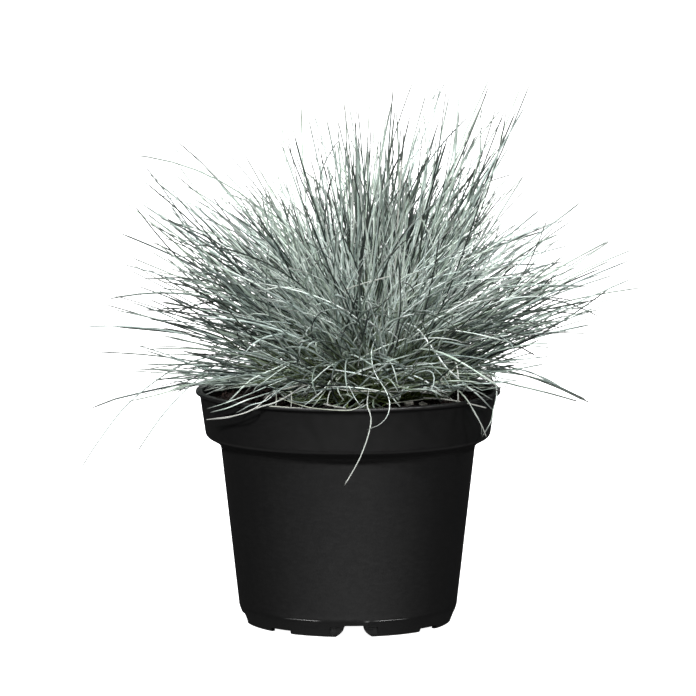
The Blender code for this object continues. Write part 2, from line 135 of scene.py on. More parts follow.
def mesh_object(name, points, corners, sizes, material):
    """An object from point places, the corners of its faces one after the other, and each face's
    number of corners, with smooth shading."""
    mesh = bpy.data.meshes.new(name)
    mesh.vertices.add(len(points))
    mesh.vertices.foreach_set("co", np.asarray(points, np.float32).ravel())
    mesh.loops.add(len(corners))
    mesh.loops.foreach_set("vertex_index", np.asarray(corners, np.int32))
    mesh.polygons.add(len(sizes))
    mesh.polygons.foreach_set("loop_start", (np.cumsum(sizes) - sizes).astype(np.int32))
    mesh.update(calc_edges=True)
    mesh.shade_smooth()
    thing = bpy.data.objects.new(name, mesh)
    bpy.context.scene.collection.objects.link(thing)
    if material is not None:
        mesh.materials.append(material)
    return thing


def rounded_line(corners):
    """Points of a line whose corners are rounded. Each corner is (across, height, round), and its
    round is a parabola between the points at that distance before and after the corner:
    (1-t)^2 before + 2t(1-t) corner + t^2 after."""
    known = np.array([corner[:2] for corner in corners])
    line = [known[0]]
    for i in range(1, len(known) - 1):
        reach = corners[i][2]
        back = known[i - 1] - known[i]
        on = known[i + 1] - known[i]
        before = known[i] + back * min(0.5, reach / np.hypot(*back))
        after = known[i] + on * min(0.5, reach / np.hypot(*on))
        t = np.linspace(0.0, 1.0, ROUND_STEPS + 1)[:, None]
        line += list((1 - t) ** 2 * before + 2 * t * (1 - t) * known[i] + t**2 * after)
    line.append(known[-1])
    return np.array(line)


def closed_object(name, rings, poles, material):
    """A closed solid from rings of points, (ring, place, xyz), that run down its outside. Each ring
    is joined to the next, and the first and the last are joined to a pole each."""
    count, steps = rings.shape[:2]
    points = np.concatenate([rings.reshape(-1, 3), poles])
    j = np.arange(steps)
    after = (j + 1) % steps
    row = steps * np.arange(count - 1)[:, None]
    quads = np.stack([row + j, row + steps + j, row + steps + after, row + after], -1)
    last = steps * (count - 1)
    start_fan = np.stack([np.full(steps, len(points) - 2), j, after], -1)
    end_fan = np.stack([last + j, np.full(steps, len(points) - 1), last + after], -1)
    corners = np.concatenate([quads.ravel(), start_fan.ravel(), end_fan.ravel()])
    sizes = np.concatenate([np.full(quads.size // 4, 4), np.full(2 * steps, 3)])
    return mesh_object(name, points, corners, sizes, material)


def turned_object(name, line, steps, material):
    """A closed solid turned about Z: point (i, j) is line point i, (radius, height), at the angle
    2 pi j / steps. The line starts and ends on the axis, where each pole is one point, and the
    solid's outside is on the left of it."""
    angle = 2 * np.pi * np.arange(steps) / steps
    radius = line[1:-1, 0][:, None]
    height = np.repeat(line[1:-1, 1][:, None], steps, 1)
    rings = np.stack([radius * np.cos(angle), radius * np.sin(angle), height], -1)
    return closed_object(name, rings, [[0.0, 0.0, line[0, 1]], [0.0, 0.0, line[-1, 1]]], material)


def wall_radius(height):
    """Outer radius of the tapering wall: it changes evenly from the foot up to the neck."""
    share = (height - WALL_FOOT_HEIGHT) / (NECK_HEIGHT - WALL_FOOT_HEIGHT)
    return WALL_FOOT_RADIUS + share * (NECK_RADIUS - WALL_FOOT_RADIUS)


def collar_inside_radius(height):
    """Inner radius of the collar: it changes evenly from the shoulder up to the lip."""
    share = (height - COLLAR_FOOT_HEIGHT) / (POT_HEIGHT - COLLAR_FOOT_HEIGHT)
    return COLLAR_FOOT_RADIUS + share * (COLLAR_TOP_RADIUS - COLLAR_FOOT_RADIUS) - WALL


def pot_inside(gap):
    """Corners of the pot's inner face from the base up to the shoulder, set in by a gap."""
    floor = BASE_HEIGHT + BASE_THICKNESS + gap
    corner = floor + BASE_CORNER_RISE
    neck = NECK_HEIGHT + NECK_RISE
    ledge = COLLAR_FOOT_HEIGHT - SHOULDER_DROP
    return [
        (0.0, floor, 0.0),
        (wall_radius(floor) - WALL - BASE_CORNER - gap, floor, INNER_ROUND),
        (wall_radius(corner) - WALL - gap, corner, INNER_ROUND),
        (wall_radius(neck) - WALL - gap, neck + gap, NECK_INNER_ROUND),
        (COLLAR_FOOT_RADIUS - WALL - SHOULDER_LEDGE - gap, ledge + gap, INNER_ROUND),
    ]


def pot_line():
    """The pot's section: up the inside, over the lip, down the outside and under the base, with more
    points on the toe, where the mould line is raised later."""
    lip_foot = POT_HEIGHT - LIP_THICKNESS
    corners = pot_inside(0.0) + [
        (collar_inside_radius(POT_HEIGHT), POT_HEIGHT, LIP_ROUND),
        (LIP_RADIUS, POT_HEIGHT, LIP_ROUND),
        (LIP_RADIUS, lip_foot, LIP_FOOT_ROUND),
        (COLLAR_TOP_RADIUS, lip_foot - LIP_FOOT_SLOPE, COLLAR_TOP_ROUND),
        (COLLAR_FOOT_RADIUS, COLLAR_FOOT_HEIGHT - SHOULDER_SLOPE, COLLAR_FOOT_ROUND),
        (NECK_RADIUS, NECK_HEIGHT + SHOULDER_SLOPE, NECK_ROUND),
        (WALL_FOOT_RADIUS, WALL_FOOT_HEIGHT, WALL_FOOT_ROUND),
        *[(WALL_FOOT_RADIUS - inset, height, near) for inset, height, near in TOE_CORNERS],
        (FOOT_RADIUS, 0.0, FOOT_ROUND),
        (FOOT_RADIUS - FOOT_WIDTH, 0.0, FOOT_ROUND),
        (FOOT_RADIUS - FOOT_WIDTH - FOOT_DRAFT, BASE_HEIGHT, FOOT_ROUND),
        (0.0, BASE_HEIGHT, 0.0),
    ]
    line = rounded_line(corners)
    outside = np.arange(len(line)) > line[:, 0].argmax()
    toe = np.flatnonzero(outside & (line[:, 0] > FOOT_RADIUS) & (line[:, 1] < TOE_TOP))
    first, last = toe[0], toe[-1]
    above = MOULD_LINE_HEIGHT + MOULD_LINE_WIDTH
    below = MOULD_LINE_HEIGHT - MOULD_LINE_WIDTH
    known = [line[first, 1], above, below, line[last, 1]]
    heights = np.interp(np.arange(TOE_STATIONS[-1] + 1), TOE_STATIONS, known)[:, None]
    radii = np.interp(-heights, -line[first : last + 1, 1], line[first : last + 1, 0])
    return np.concatenate([line[:first], np.hstack([radii, heights]), line[last + 1 :]])


def point_places(thing):
    """The places of an object's points, (point, xyz)."""
    places = np.empty(3 * len(thing.data.vertices), np.float32)
    thing.data.vertices.foreach_get("co", places)
    return places.reshape(-1, 3)


def ramp(value, width):
    """Goes evenly from 0 to 1 while the value goes from nought to the width."""
    return np.clip(value / width, 0.0, 1.0)


def raise_mould_line(thing):
    """Moves the toe's points outwards by a small smooth hump, exp(-(2h/width)^2) at the height h from
    the mould line, which fades at the ends of each span, and by a low round gate mark beside it."""
    points = point_places(thing)
    radius = np.hypot(points[:, 0], points[:, 1])
    turn = np.degrees(np.arctan2(points[:, 0], -points[:, 1]))
    on_toe = (radius > FOOT_RADIUS) & (points[:, 2] < TOE_TOP)
    shown = np.zeros(len(points))
    for first, last in MOULD_LINE_SPANS:
        shown = np.maximum(shown, ramp(np.minimum(turn - first, last - turn), MOULD_LINE_FADE))
    away = (points[:, 2] - MOULD_LINE_HEIGHT) / (MOULD_LINE_WIDTH / 2)
    aside = np.radians(turn - GATE_TURN) * radius
    from_gate = np.hypot(aside, points[:, 2] - GATE_HEIGHT) / GATE_RADIUS
    hump = MOULD_LINE_STANDS * np.exp(-(away**2)) * shown + GATE_STANDS * np.exp(-(from_gate**2))
    points[:, :2] *= 1.0 + (on_toe * hump / np.maximum(radius, 1e-6))[:, None]
    thing.data.vertices.foreach_set("co", points.ravel())


def prisms(name, ends):
    """One object of prisms, each drawn from one outline to another that has as many points."""
    points, corners, sizes = [], [], []
    start = 0
    for near, far in ends:
        count = len(near)
        i = np.arange(count)
        after = (i + 1) % count
        sides = np.stack([i, after, count + after, count + i], -1)
        points += [near, far]
        corners += [start + sides.ravel(), start + i[::-1], start + count + i]
        sizes += [4] * count + [count, count]
        start += 2 * count
    return mesh_object(name, np.concatenate(points), np.concatenate(corners), np.array(sizes), None)


def cut(thing, ends):
    """Takes prisms away from the thing, and puts the shape that is left into its own mesh."""
    cutter = prisms("cutter", ends)
    step = thing.modifiers.new("Cut", "BOOLEAN")
    step.operation = "DIFFERENCE"
    step.solver = "EXACT"
    step.object = cutter
    bpy.context.view_layer.update()
    mesh = bpy.data.meshes.new_from_object(thing.evaluated_get(bpy.context.evaluated_depsgraph_get()))
    thing.modifiers.clear()
    thing.data = mesh
    bpy.data.objects.remove(cutter, do_unlink=True)


def drawn_out(outline, near, turn, lean=0.0):
    """The two ends of a prism through the foot ring, turned about Z: an outline's (across, height)
    points at the radius near, which grows by lean times the height, and outside the pot."""
    across, height = np.array(outline).T
    angle = math.radians(turn)
    ends = []
    for radius in (near + lean * height, CUT_OUTSIDE):
        x = across * math.cos(angle) + radius * math.sin(angle)
        y = across * math.sin(angle) - radius * math.cos(angle)
        ends.append(np.stack([x, y, height], -1))
    return ends


def mirrored(right):
    """A whole outline from its right half."""
    return right + [(-x, z) for x, z in reversed(right)]


def box_outline(width, height):
    """A plain outline that stands a little below the floor."""
    return mirrored([(width / 2, -CUT_BELOW), (width / 2, height)])


def groove_outline():
    """Outline of the fine groove that runs up one side of a recess, along its top and down again."""
    half = RECESS_WIDTH / 2 + OUTLINE_WIDTH / 4
    top = RECESS_HEIGHT + OUTLINE_WIDTH / 4
    inner = half - OUTLINE_WIDTH
    return mirrored([(inner, top - OUTLINE_WIDTH), (inner, -CUT_BELOW), (half, -CUT_BELOW), (half, top)])


def notch_outline():
    """Bell outline, flared at the floor and with a quarter circle at its top corners. Up the side, its
    half width falls from the foot's to the top's by (1 - s)^flare at the share s of the height."""
    half_top = NOTCH_TOP_WIDTH / 2
    half_foot = NOTCH_FOOT_WIDTH / 2
    shoulder = NOTCH_HEIGHT - NOTCH_ROUND
    share = np.arange(NOTCH_SIDE_STEPS) / NOTCH_SIDE_STEPS
    widths = half_top + (half_foot - half_top) * (1.0 - share) ** NOTCH_FLARE
    angle = np.radians(np.linspace(0.0, 90.0, NOTCH_ROUND_STEPS + 1))
    across = half_top - NOTCH_ROUND + NOTCH_ROUND * np.cos(angle)
    right = [(half_foot + NOTCH_RUN_ON, -CUT_BELOW), *zip(widths, shoulder * share)]
    return mirrored([*right, *zip(across, shoulder + NOTCH_ROUND * np.sin(angle))])


def drain_pins():
    """The two ends of an upright pin for each drain hole: an even ring of holes, and one on the axis.
    Corner j of a pin is at the angle 2 pi j / PIN_SIDES."""
    spoke = 2 * np.pi * (np.arange(DRAIN_COUNT) + 0.5) / DRAIN_COUNT
    ring = DRAIN_RING * np.stack([np.cos(spoke), np.sin(spoke)], -1)
    rim = 2 * np.pi * np.arange(PIN_SIDES) / PIN_SIDES
    low = np.full(PIN_SIDES, BASE_HEIGHT - BASE_THICKNESS)
    high = np.full(PIN_SIDES, BASE_HEIGHT + 2 * BASE_THICKNESS)
    pins = []
    for x, y in [*ring, (0.0, 0.0)]:
        flat = [x + DRAIN_RADIUS * np.cos(rim), y + DRAIN_RADIUS * np.sin(rim)]
        pins.append((np.stack([*flat, low], -1), np.stack([*flat, high], -1)))
    return pins


def add_node(tree, kind, inputs=None, **settings):
    """A node with its settings. Each input is given a value, or is linked where it gets a socket."""
    node = tree.nodes.new(kind)
    for name, value in settings.items():
        setattr(node, name, value)
    for name, value in (inputs or {}).items():
        if isinstance(value, bpy.types.NodeSocket):
            tree.links.new(value, node.inputs[name])
        else:
            node.inputs[name].default_value = value
    return node


def mixed(tree, share, first, second, way="MIX"):
    """A colour between two others, or the second laid on the first in another way."""
    inputs = {0: share, 6: first, 7: second}
    return add_node(tree, "ShaderNodeMix", inputs, data_type="RGBA", blend_type=way).outputs[2]


def stretched(tree, value, low, high, to_low=0.0, to_high=1.0):
    """A value's range between low and high drawn out smoothly from to_low to to_high."""
    inputs = {"Value": value, 1: low, 2: high, 3: to_low, 4: to_high}
    return add_node(tree, "ShaderNodeMapRange", inputs, interpolation_type="SMOOTHSTEP").outputs[0]


def sums(tree, way, first, second):
    """One step of arithmetic."""
    return add_node(tree, "ShaderNodeMath", {0: first, 1: second}, operation=way).outputs[0]


def noise(tree, place, scale, detail):
    """Random clouds at a scale, with finer ones laid over them."""
    inputs = {"Vector": place, "Scale": scale, "Detail": detail}
    return add_node(tree, "ShaderNodeTexNoise", inputs).outputs[0]


def scaled(tree, place, scale):
    """A place scaled along each axis, so that what is read there is drawn out where that is small."""
    return add_node(tree, "ShaderNodeMapping", {"Vector": place, "Scale": scale}).outputs[0]


def facing_up(tree):
    """How far the surface faces up: 1 when level, 0 when upright and -1 underneath."""
    normal = add_node(tree, "ShaderNodeNewGeometry").outputs["Normal"]
    return add_node(tree, "ShaderNodeSeparateXYZ", {0: normal}).outputs[2]


def new_group(name, amount, usual, result):
    """An empty node group that is given a place and an amount, and its two end nodes."""
    group = bpy.data.node_groups.new(name, "ShaderNodeTree")
    group.interface.new_socket("Vector", in_out="INPUT", socket_type="NodeSocketVector")
    socket = group.interface.new_socket(amount, in_out="INPUT", socket_type="NodeSocketFloat")
    socket.default_value = usual
    group.interface.new_socket(result, in_out="OUTPUT", socket_type="NodeSocketFloat")
    return group, group.nodes.new("NodeGroupInput"), group.nodes.new("NodeGroupOutput")


def effect(tree, group, place, amount):
    """What a node group puts out at a place, for an amount."""
    return add_node(tree, "ShaderNodeGroup", {0: place, 1: amount}, node_tree=group).outputs[0]


def new_material(name):
    """A material with its node tree, its Principled shader and the place on the object."""
    material = bpy.data.materials.new(name)
    material.use_nodes = True
    tree = material.node_tree
    place = add_node(tree, "ShaderNodeTexCoord").outputs["Object"]
    return material, tree, tree.nodes["Principled BSDF"], place


def set_surface(tree, shader, colour, rough, height, strength, distance, shine=0.5):
    """Gives a shader its colour, its roughness, its fine relief and how strongly it shines."""
    inputs = {"Strength": strength, "Distance": distance, "Height": height}
    relief = add_node(tree, "ShaderNodeBump", inputs)
    tree.links.new(colour, shader.inputs["Base Color"])
    tree.links.new(rough, shader.inputs["Roughness"])
    tree.links.new(relief.outputs[0], shader.inputs["Normal"])
    shader.inputs["Specular IOR Level"].default_value = shine


# Mottle: cloudy light and dark at two scales, as on any weathered surface.
mottle, given, made = new_group("mottle", "Scale", 50.0, "Value")
wide = noise(mottle, given.outputs[0], given.outputs[1], 3.0)
close = noise(mottle, given.outputs[0], sums(mottle, "MULTIPLY", given.outputs[1], 6.3), 4.0)
both = add_node(mottle, "ShaderNodeMix", {0: 0.42, 2: wide, 3: close}, data_type="FLOAT")
mottle.links.new(stretched(mottle, both.outputs[0], 0.32, 0.68), made.inputs[0])

# Dust: pale grains and a thin film that settle on what faces up.
dust, given, made = new_group("dust", "Amount", 0.5, "Mask")
level = stretched(dust, facing_up(dust), 0.15, 0.95, 0.10, 1.0)
spots = stretched(dust, noise(dust, given.outputs[0], 1500.0, 2.0), 0.63, 0.72)
film = stretched(dust, noise(dust, given.outputs[0], 90.0, 5.0), 0.42, 0.68, 0.0, 0.55)
settled = sums(dust, "MULTIPLY", sums(dust, "MAXIMUM", spots, film), level)
dust.links.new(sums(dust, "MULTIPLY", settled, given.outputs[1]), made.inputs[0])

black_plastic, tree, shader, place = new_material("black_plastic_matte")
clouds = effect(tree, mottle, place, 38.0)
flow = effect(tree, mottle, scaled(tree, place, (1.0, 1.0, 0.06)), 110.0)
colour = mixed(tree, sums(tree, "MULTIPLY", clouds, flow), PLASTIC_COLOUR, PLASTIC_WORN)
# Painted reflection: faces that look down are painted lighter, as if they caught the white table's light.
underneath = stretched(tree, facing_up(tree), -0.80, -0.20, 1.0, 0.0)
colour = mixed(tree, underneath, colour, PAINTED_TABLE_REFLECTION)
dusted = effect(tree, dust, place, 0.28)
colour = mixed(tree, dusted, colour, DUST_COLOUR)
grain = noise(tree, place, 2600.0, 3.0)
scuffs = noise(tree, scaled(tree, place, (0.25, 0.25, 1.0)), 900.0, 6.0)
rough = stretched(tree, scuffs, 0.35, 0.7, 0.43, 0.47)
rough = sums(tree, "ADD", rough, stretched(tree, dusted, 0.0, 0.6, 0.0, 0.25))
height = sums(tree, "ADD", sums(tree, "MULTIPLY", grain, 0.6), sums(tree, "MULTIPLY", scuffs, 0.4))
set_surface(tree, shader, colour, rough, height, 0.12, 0.00003, 0.66)

pot = turned_object("pot_moulding", pot_line(), POT_STEPS, black_plastic)
raise_mould_line(pot)
recess_radius = FOOT_RADIUS - RECESS_DEPTH
recesses = []
grooves = []
openings = []
for k in range(NOTCH_COUNT):
    turn = NOTCH_TURN + 360.0 * k / NOTCH_COUNT
    recesses.append(drawn_out(box_outline(RECESS_WIDTH, RECESS_HEIGHT), recess_radius, turn, RECESS_LEAN))
    grooves.append(drawn_out(groove_outline(), recess_radius - OUTLINE_DEPTH, turn, RECESS_LEAN))
    openings.append(drawn_out(notch_outline(), CUT_INSIDE, turn))
    openings.append(drawn_out(box_outline(SLOT_WIDTH, SLOT_HEIGHT), CUT_INSIDE, turn + SLOT_TURN))
for ends in (recesses, grooves, openings, drain_pins()):
    cut(pot, ends)
pot.data.shade_smooth()
pot.data.set_sharp_from_angle(angle=math.radians(SHARP_ANGLE))
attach(pot, "root")
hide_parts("pot")


# The compost. A plug of peat and composted bark that fills the pot to just under the lip, mounded at
# the plant. It was tipped in loose and watered down, so its top is all crumbs, lumps and fibres.

GAP = 0.0003
COMPOST_SIDE_HEIGHT = 0.1222
COMPOST_MOUND_HEIGHT = 0.1246
COMPOST_ROUGHNESS = 0.0005
COMPOST_STEPS = 240
COMPOST_RINGS = 100
RINGS_CLOSE_IN = 1.15  # how much closer together the rings are at the middle
LUMP_NET = 256
LUMP_CELLS = (0.0062, 0.0026, 0.0012)
LUMP_HEIGHTS = (0.0008, 0.0007, 0.0004)
CROWN_X = 0.012
CROWN_Y = 0.0
MOUND_RADIUS = 0.034
COMPOST_EDGE = 0.0805
COMPOST_EDGE_FADE = 0.004
PEAT_DARK = (0.0075, 0.0045, 0.0035, 1.0)
PEAT_RED = (0.016, 0.0085, 0.0070, 1.0)
PEAT_PALE = (0.055, 0.038, 0.030, 1.0)
CRUMB_COUNT = 760
CRUMB_RING = 0.079
CRUMB_SIZE = 0.0005
CRUMB_GROWTH = 0.0013
CRUMB_FEWER_BIG = 2.2
CRUMB_UNEVEN = (0.72, 1.28)
CRUMB_DRAWN_OUT = (0.7, 1.5)
CRUMB_RISE = 0.25
chance = np.random.default_rng(20)


def compost_height(x, y):
    """Level at the wall, raised round the crown by a bell curve, with slow waves elsewhere."""
    from_crown = np.hypot(x - CROWN_X, y - CROWN_Y)
    mound = np.exp(-((from_crown / MOUND_RADIUS) ** 2))
    swell = np.sin(95.0 * x + 1.3) * np.cos(80.0 * y - 0.4) + 0.6 * np.sin(150.0 * (x - y))
    rise = (COMPOST_MOUND_HEIGHT - COMPOST_SIDE_HEIGHT) * mound
    return COMPOST_SIDE_HEIGHT + rise + COMPOST_ROUGHNESS * swell * (1.0 - mound)


def lumps(x, y, cell, seed):
    """Smooth random heights from -1 to 1: random values on a square net of the cell size, joined
    by s = 3t^2 - 2t^3 between one knot and the next."""
    net = np.random.default_rng(seed).uniform(-1.0, 1.0, (LUMP_NET, LUMP_NET))
    across = x / cell + 100.0
    along = y / cell + 100.0
    i = np.floor(across).astype(int)
    j = np.floor(along).astype(int)
    s = across - i
    t = along - j
    s = s * s * (3 - 2 * s)
    t = t * t * (3 - 2 * t)
    i, j, on, up = (knot % LUMP_NET for knot in (i, j, i + 1, j + 1))
    low = net[i, j] * (1 - s) + net[on, j] * s
    high = net[i, up] * (1 - s) + net[on, up] * s
    return low * (1 - t) + high * t


def crumbly_height(x, y):
    """The compost's height with its lumps at three sizes, none on the outer edge."""
    wide, middling, fine = (lumps(x, y, cell, seed) for seed, cell in enumerate(LUMP_CELLS, 1))
    rough = LUMP_HEIGHTS[0] * wide + LUMP_HEIGHTS[1] * np.abs(middling) + LUMP_HEIGHTS[2] * fine
    return compost_height(x, y) + ramp(COMPOST_EDGE - np.hypot(x, y), COMPOST_EDGE_FADE) * rough


compost_skin, tree, shader, place = new_material("compost_crumbs")
bits = add_node(tree, "ShaderNodeTexVoronoi", {"Vector": place, "Scale": 620.0}, feature="F1")
tones = add_node(tree, "ShaderNodeSeparateColor", {0: bits.outputs["Color"]})
pale_bits = stretched(tree, tones.outputs[0], 0.80, 0.96, 0.0, 0.75)
colour = mixed(tree, effect(tree, mottle, place, 120.0), PEAT_DARK, PEAT_RED)
colour = mixed(tree, pale_bits, colour, PEAT_PALE)
rough = stretched(tree, effect(tree, mottle, place, 45.0), 0.0, 1.0, 0.80, 0.98)
height = stretched(tree, bits.outputs["Distance"], 0.0, 0.9, 1.0, 0.0)
set_surface(tree, shader, colour, rough, height, 0.9, 0.0007, 0.2)

compost_gap = 2 * GAP
edge = collar_inside_radius(COMPOST_SIDE_HEIGHT) - compost_gap
side_line = rounded_line(pot_inside(compost_gap) + [(edge, COMPOST_SIDE_HEIGHT, 0.0)])
top_radii = edge * (1.0 - np.linspace(0.0, 1.0, COMPOST_RINGS)[1:] ** RINGS_CLOSE_IN)
top_line = np.stack([top_radii, np.full(len(top_radii), COMPOST_SIDE_HEIGHT)], -1)
compost_line = np.concatenate([side_line, top_line])[::-1]
compost = turned_object("compost_plug", compost_line, COMPOST_STEPS, compost_skin)
points = point_places(compost)
on_top = points[:, 2] > COMPOST_SIDE_HEIGHT - 1e-5
points[on_top, 2] = crumbly_height(points[on_top, 0].astype(float), points[on_top, 1].astype(float))
compost.data.vertices.foreach_set("co", points.ravel())
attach(compost, "root")
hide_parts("compost")

# A ball's poles with two rings of five points between them, and its faces.
BALL = np.array(
    [(0, 0, 1), (0.894, 0, 0.447), (0.276, 0.851, 0.447), (-0.724, 0.526, 0.447), (-0.724, -0.526, 0.447),
     (0.276, -0.851, 0.447), (0.724, 0.526, -0.447), (-0.276, 0.851, -0.447), (-0.894, 0, -0.447),
     (-0.276, -0.851, -0.447), (0.724, -0.526, -0.447), (0, 0, -1)]
)
BALL_FACES = np.array(
    [(0, 1, 2), (0, 2, 3), (0, 3, 4), (0, 4, 5), (0, 5, 1), (1, 6, 2), (2, 7, 3), (3, 8, 4), (4, 9, 5),
     (5, 10, 1), (6, 7, 2), (7, 8, 3), (8, 9, 4), (9, 10, 5), (10, 6, 1), (6, 11, 7), (7, 11, 8),
     (8, 11, 9), (9, 11, 10), (10, 11, 6)]
)


def crumbs(name, count, material):
    """Loose lumps strewn over the compost: twenty-sided balls, each point moved in or out by up to a
    third and each ball drawn out a little one way, sunk by part of their height."""
    radius = CRUMB_RING * np.sqrt(chance.uniform(0.0, 1.0, count))
    angle = chance.uniform(0.0, 2 * np.pi, count)
    x = radius * np.cos(angle)
    y = radius * np.sin(angle)
    size = CRUMB_SIZE + CRUMB_GROWTH * chance.uniform(0.0, 1.0, count) ** CRUMB_FEWER_BIG
    shape = BALL * chance.uniform(*CRUMB_UNEVEN, (count, len(BALL), 1))
    shape = shape * (size[:, None] * chance.uniform(*CRUMB_DRAWN_OUT, (count, 3)))[:, None, :]
    middle = np.stack([x, y, crumbly_height(x, y) + CRUMB_RISE * size], -1)
    points = (shape + middle[:, None, :]).reshape(-1, 3)
    corners = (BALL_FACES[None] + len(BALL) * np.arange(count)[:, None, None]).ravel()
    return mesh_object(name, points, corners, np.full(len(BALL_FACES) * count, 3), material)


crumb_pile = crumbs("compost_crumbs", CRUMB_COUNT, compost_skin)
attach(crumb_pile, "root")


# The bark chips. Two flat flakes of composted bark that lie on the compost in front of the crown,
# grey on the weathered face, with broken edges and a grain along them.

CHIP_CLEARANCE = 0.0007
CHIPS = {
    "bark_chip_1": ((0.0335, -0.0260), (0.0050, 0.0034, 0.0016), 18.0, 5),
    "bark_chip_2": ((0.0415, -0.0240), (0.0042, 0.0030, 0.0014), -35.0, 9),
}
CHIP_TIP_UP = 24.0  # degrees that a chip's back edge is raised
BARK_DARK = (0.110, 0.100, 0.082, 1.0)
BARK_GREY = (0.600, 0.590, 0.530, 1.0)
BARK_DUST = (0.620, 0.610, 0.550, 1.0)
CHIP_RINGS = 16
CHIP_STEPS = 48
CHIP_SQUARENESS = np.array([0.45, 0.45, 0.35])
EDGE_BREAKS = (0.16, 0.30)  # depth and length of the lumps, for a chip of half width 1
FACE_BREAKS = (0.25, 0.34)

bark_skin, tree, shader, place = new_material("bark_weathered")
grain = noise(tree, scaled(tree, place, (0.2, 1.0, 1.0)), 2400.0, 5.0)
clouds = effect(tree, mottle, place, 420.0)
colour = mixed(tree, stretched(tree, grain, 0.36, 0.62), BARK_DARK, BARK_GREY)
colour = mixed(tree, sums(tree, "MULTIPLY", clouds, 0.45), colour, BARK_DARK)
colour = mixed(tree, effect(tree, dust, place, 0.5), colour, BARK_DUST)
rough = stretched(tree, grain, 0.3, 0.7, 0.72, 0.95)
set_surface(tree, shader, colour, rough, grain, 0.8, 0.0003)


def heading(tilt, turn):
    """Directions tilted from upright and turned to an azimuth: (sin t cos a, sin t sin a, cos t)."""
    level = np.sin(tilt)
    return np.stack([level * np.cos(turn), level * np.sin(turn), np.cos(tilt) + 0.0 * turn], -1)


def flake(name, x, y, size, turn, seed, material):
    """A flat chip: a ball drawn out into a box by a low power of its sines and cosines, with its
    sides broken by random lumps. Point (i, j) is at the tilt i from the top and the azimuth j."""
    tilt = np.pi * (np.arange(CHIP_RINGS)[:, None] + 1) / (CHIP_RINGS + 1)
    rings = heading(tilt, 2 * np.pi * np.arange(CHIP_STEPS) / CHIP_STEPS)
    points = np.concatenate([rings.reshape(-1, 3), [[0.0, 0.0, 1.0], [0.0, 0.0, -1.0]]])
    points = np.sign(points) * np.abs(points) ** CHIP_SQUARENESS
    depth, cell = EDGE_BREAKS
    broken = 1.0 + depth * lumps(points[:, 0], points[:, 1] + 3.0 * points[:, 2], cell, seed)
    points[:, :2] *= broken[:, None]
    depth, cell = FACE_BREAKS
    points[:, 2] += depth * lumps(points[:, 0] * 0.3, points[:, 1], cell, seed + 1)
    points *= np.array(size) / 2
    tip = math.radians(CHIP_TIP_UP)
    angle = math.radians(turn)
    level = points[:, 0] * math.cos(angle) - points[:, 1] * math.sin(angle)
    back = points[:, 0] * math.sin(angle) + points[:, 1] * math.cos(angle)
    raised = back * math.sin(tip) + points[:, 2] * math.cos(tip)
    back = back * math.cos(tip) - points[:, 2] * math.sin(tip)
    middle = compost_height(x, y) + CHIP_CLEARANCE + size[2] / 2
    points = np.stack([x + level, y + back, middle + raised], -1)
    points[:, 2] += max(0.0, compost_height(x, y) + CHIP_CLEARANCE * 0.5 - points[:, 2].min())
    return closed_object(name, points[:-2].reshape(rings.shape), points[-2:], material)


for name, ((x, y), size, turn, seed) in CHIPS.items():
    chip = flake(name.replace("chip", "flake"), x, y, size, turn, seed, bark_skin)
    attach(chip, "root")
    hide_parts(name)


# The crown. Where all the leaves rise: several hundred sheathed shoots packed side by side on a low
# dome, olive green and straw-coloured where the light doesn't reach. It grows out of the compost.

CROWN_FOCUS_HEIGHT = 0.1115
CROWN_RADIUS = 0.0260
CROWN_FOCUS = np.array([CROWN_X, CROWN_Y, CROWN_FOCUS_HEIGHT])
DOME_RADIUS = CROWN_RADIUS - 0.0022
DOME_EDGE = 58.0
SECTION = np.array([(-1.0, 0.10), (-0.50, -0.62), (0.50, -0.62), (1.0, 0.10), (0.40, 0.62), (-0.40, 0.62)])
SHEATH_COUNT = 230
SHEATH_STATIONS = 8
SHEATH_RADIUS = CROWN_RADIUS - 0.0045
SHEATH_EDGE = 57.0
SHEATH_LENGTHS = (0.009, 0.017)
SHEATH_HALF_WIDTHS = (0.00085, 0.0014)
SHEATH_TIP = 0.35
SHEATH_START = -0.35  # inside the dome, as a share of the length
DOME_RINGS = 20
DOME_STEPS = 96
DOME_FLUTES = 16
DOME_FLUTING = 0.03
OLIVE_DARK = (0.050, 0.060, 0.020, 1.0)
OLIVE_PALE = (0.215, 0.240, 0.080, 1.0)
SHEATH_DRY = (0.300, 0.245, 0.140, 1.0)

# Fibre: fine lines along a leaf, from its own map of around and along.
fibre, given, made = new_group("fibre", "Lines", 6.0, "Value")
sides = add_node(fibre, "ShaderNodeSeparateXYZ", {0: given.outputs[0]})
across = sums(fibre, "MULTIPLY", sides.outputs[0], given.outputs[1])
drawn = add_node(fibre, "ShaderNodeCombineXYZ", {0: across, 1: sides.outputs[1], 2: sides.outputs[2]})
strands = noise(fibre, drawn.outputs[0], 2.2, 4.0)
fibre.links.new(stretched(fibre, strands, 0.34, 0.66), made.inputs[0])


def carried_along(line, roll):
    """Side and upper directions of a section that is carried along each line. At the start the side
    is level; at each next station it is the last one with its part along the line taken out. Then
    both turn round the line by the roll."""
    ahead = np.gradient(line, axis=1)
    ahead /= np.linalg.norm(ahead, axis=-1, keepdims=True)
    side = np.empty_like(ahead)
    start = np.stack([-ahead[:, 0, 1], ahead[:, 0, 0], np.zeros(len(line))], -1)
    start[:, 0] += 1e-6
    side[:, 0] = start / np.linalg.norm(start, axis=-1, keepdims=True)
    for k in range(1, line.shape[1]):
        kept = side[:, k - 1] - (side[:, k - 1] * ahead[:, k]).sum(-1, keepdims=True) * ahead[:, k]
        side[:, k] = kept / np.linalg.norm(kept, axis=-1, keepdims=True)
    upper = np.cross(ahead, side)
    turn = roll[..., None]
    return side * np.cos(turn) + upper * np.sin(turn), upper * np.cos(turn) - side * np.sin(turn)


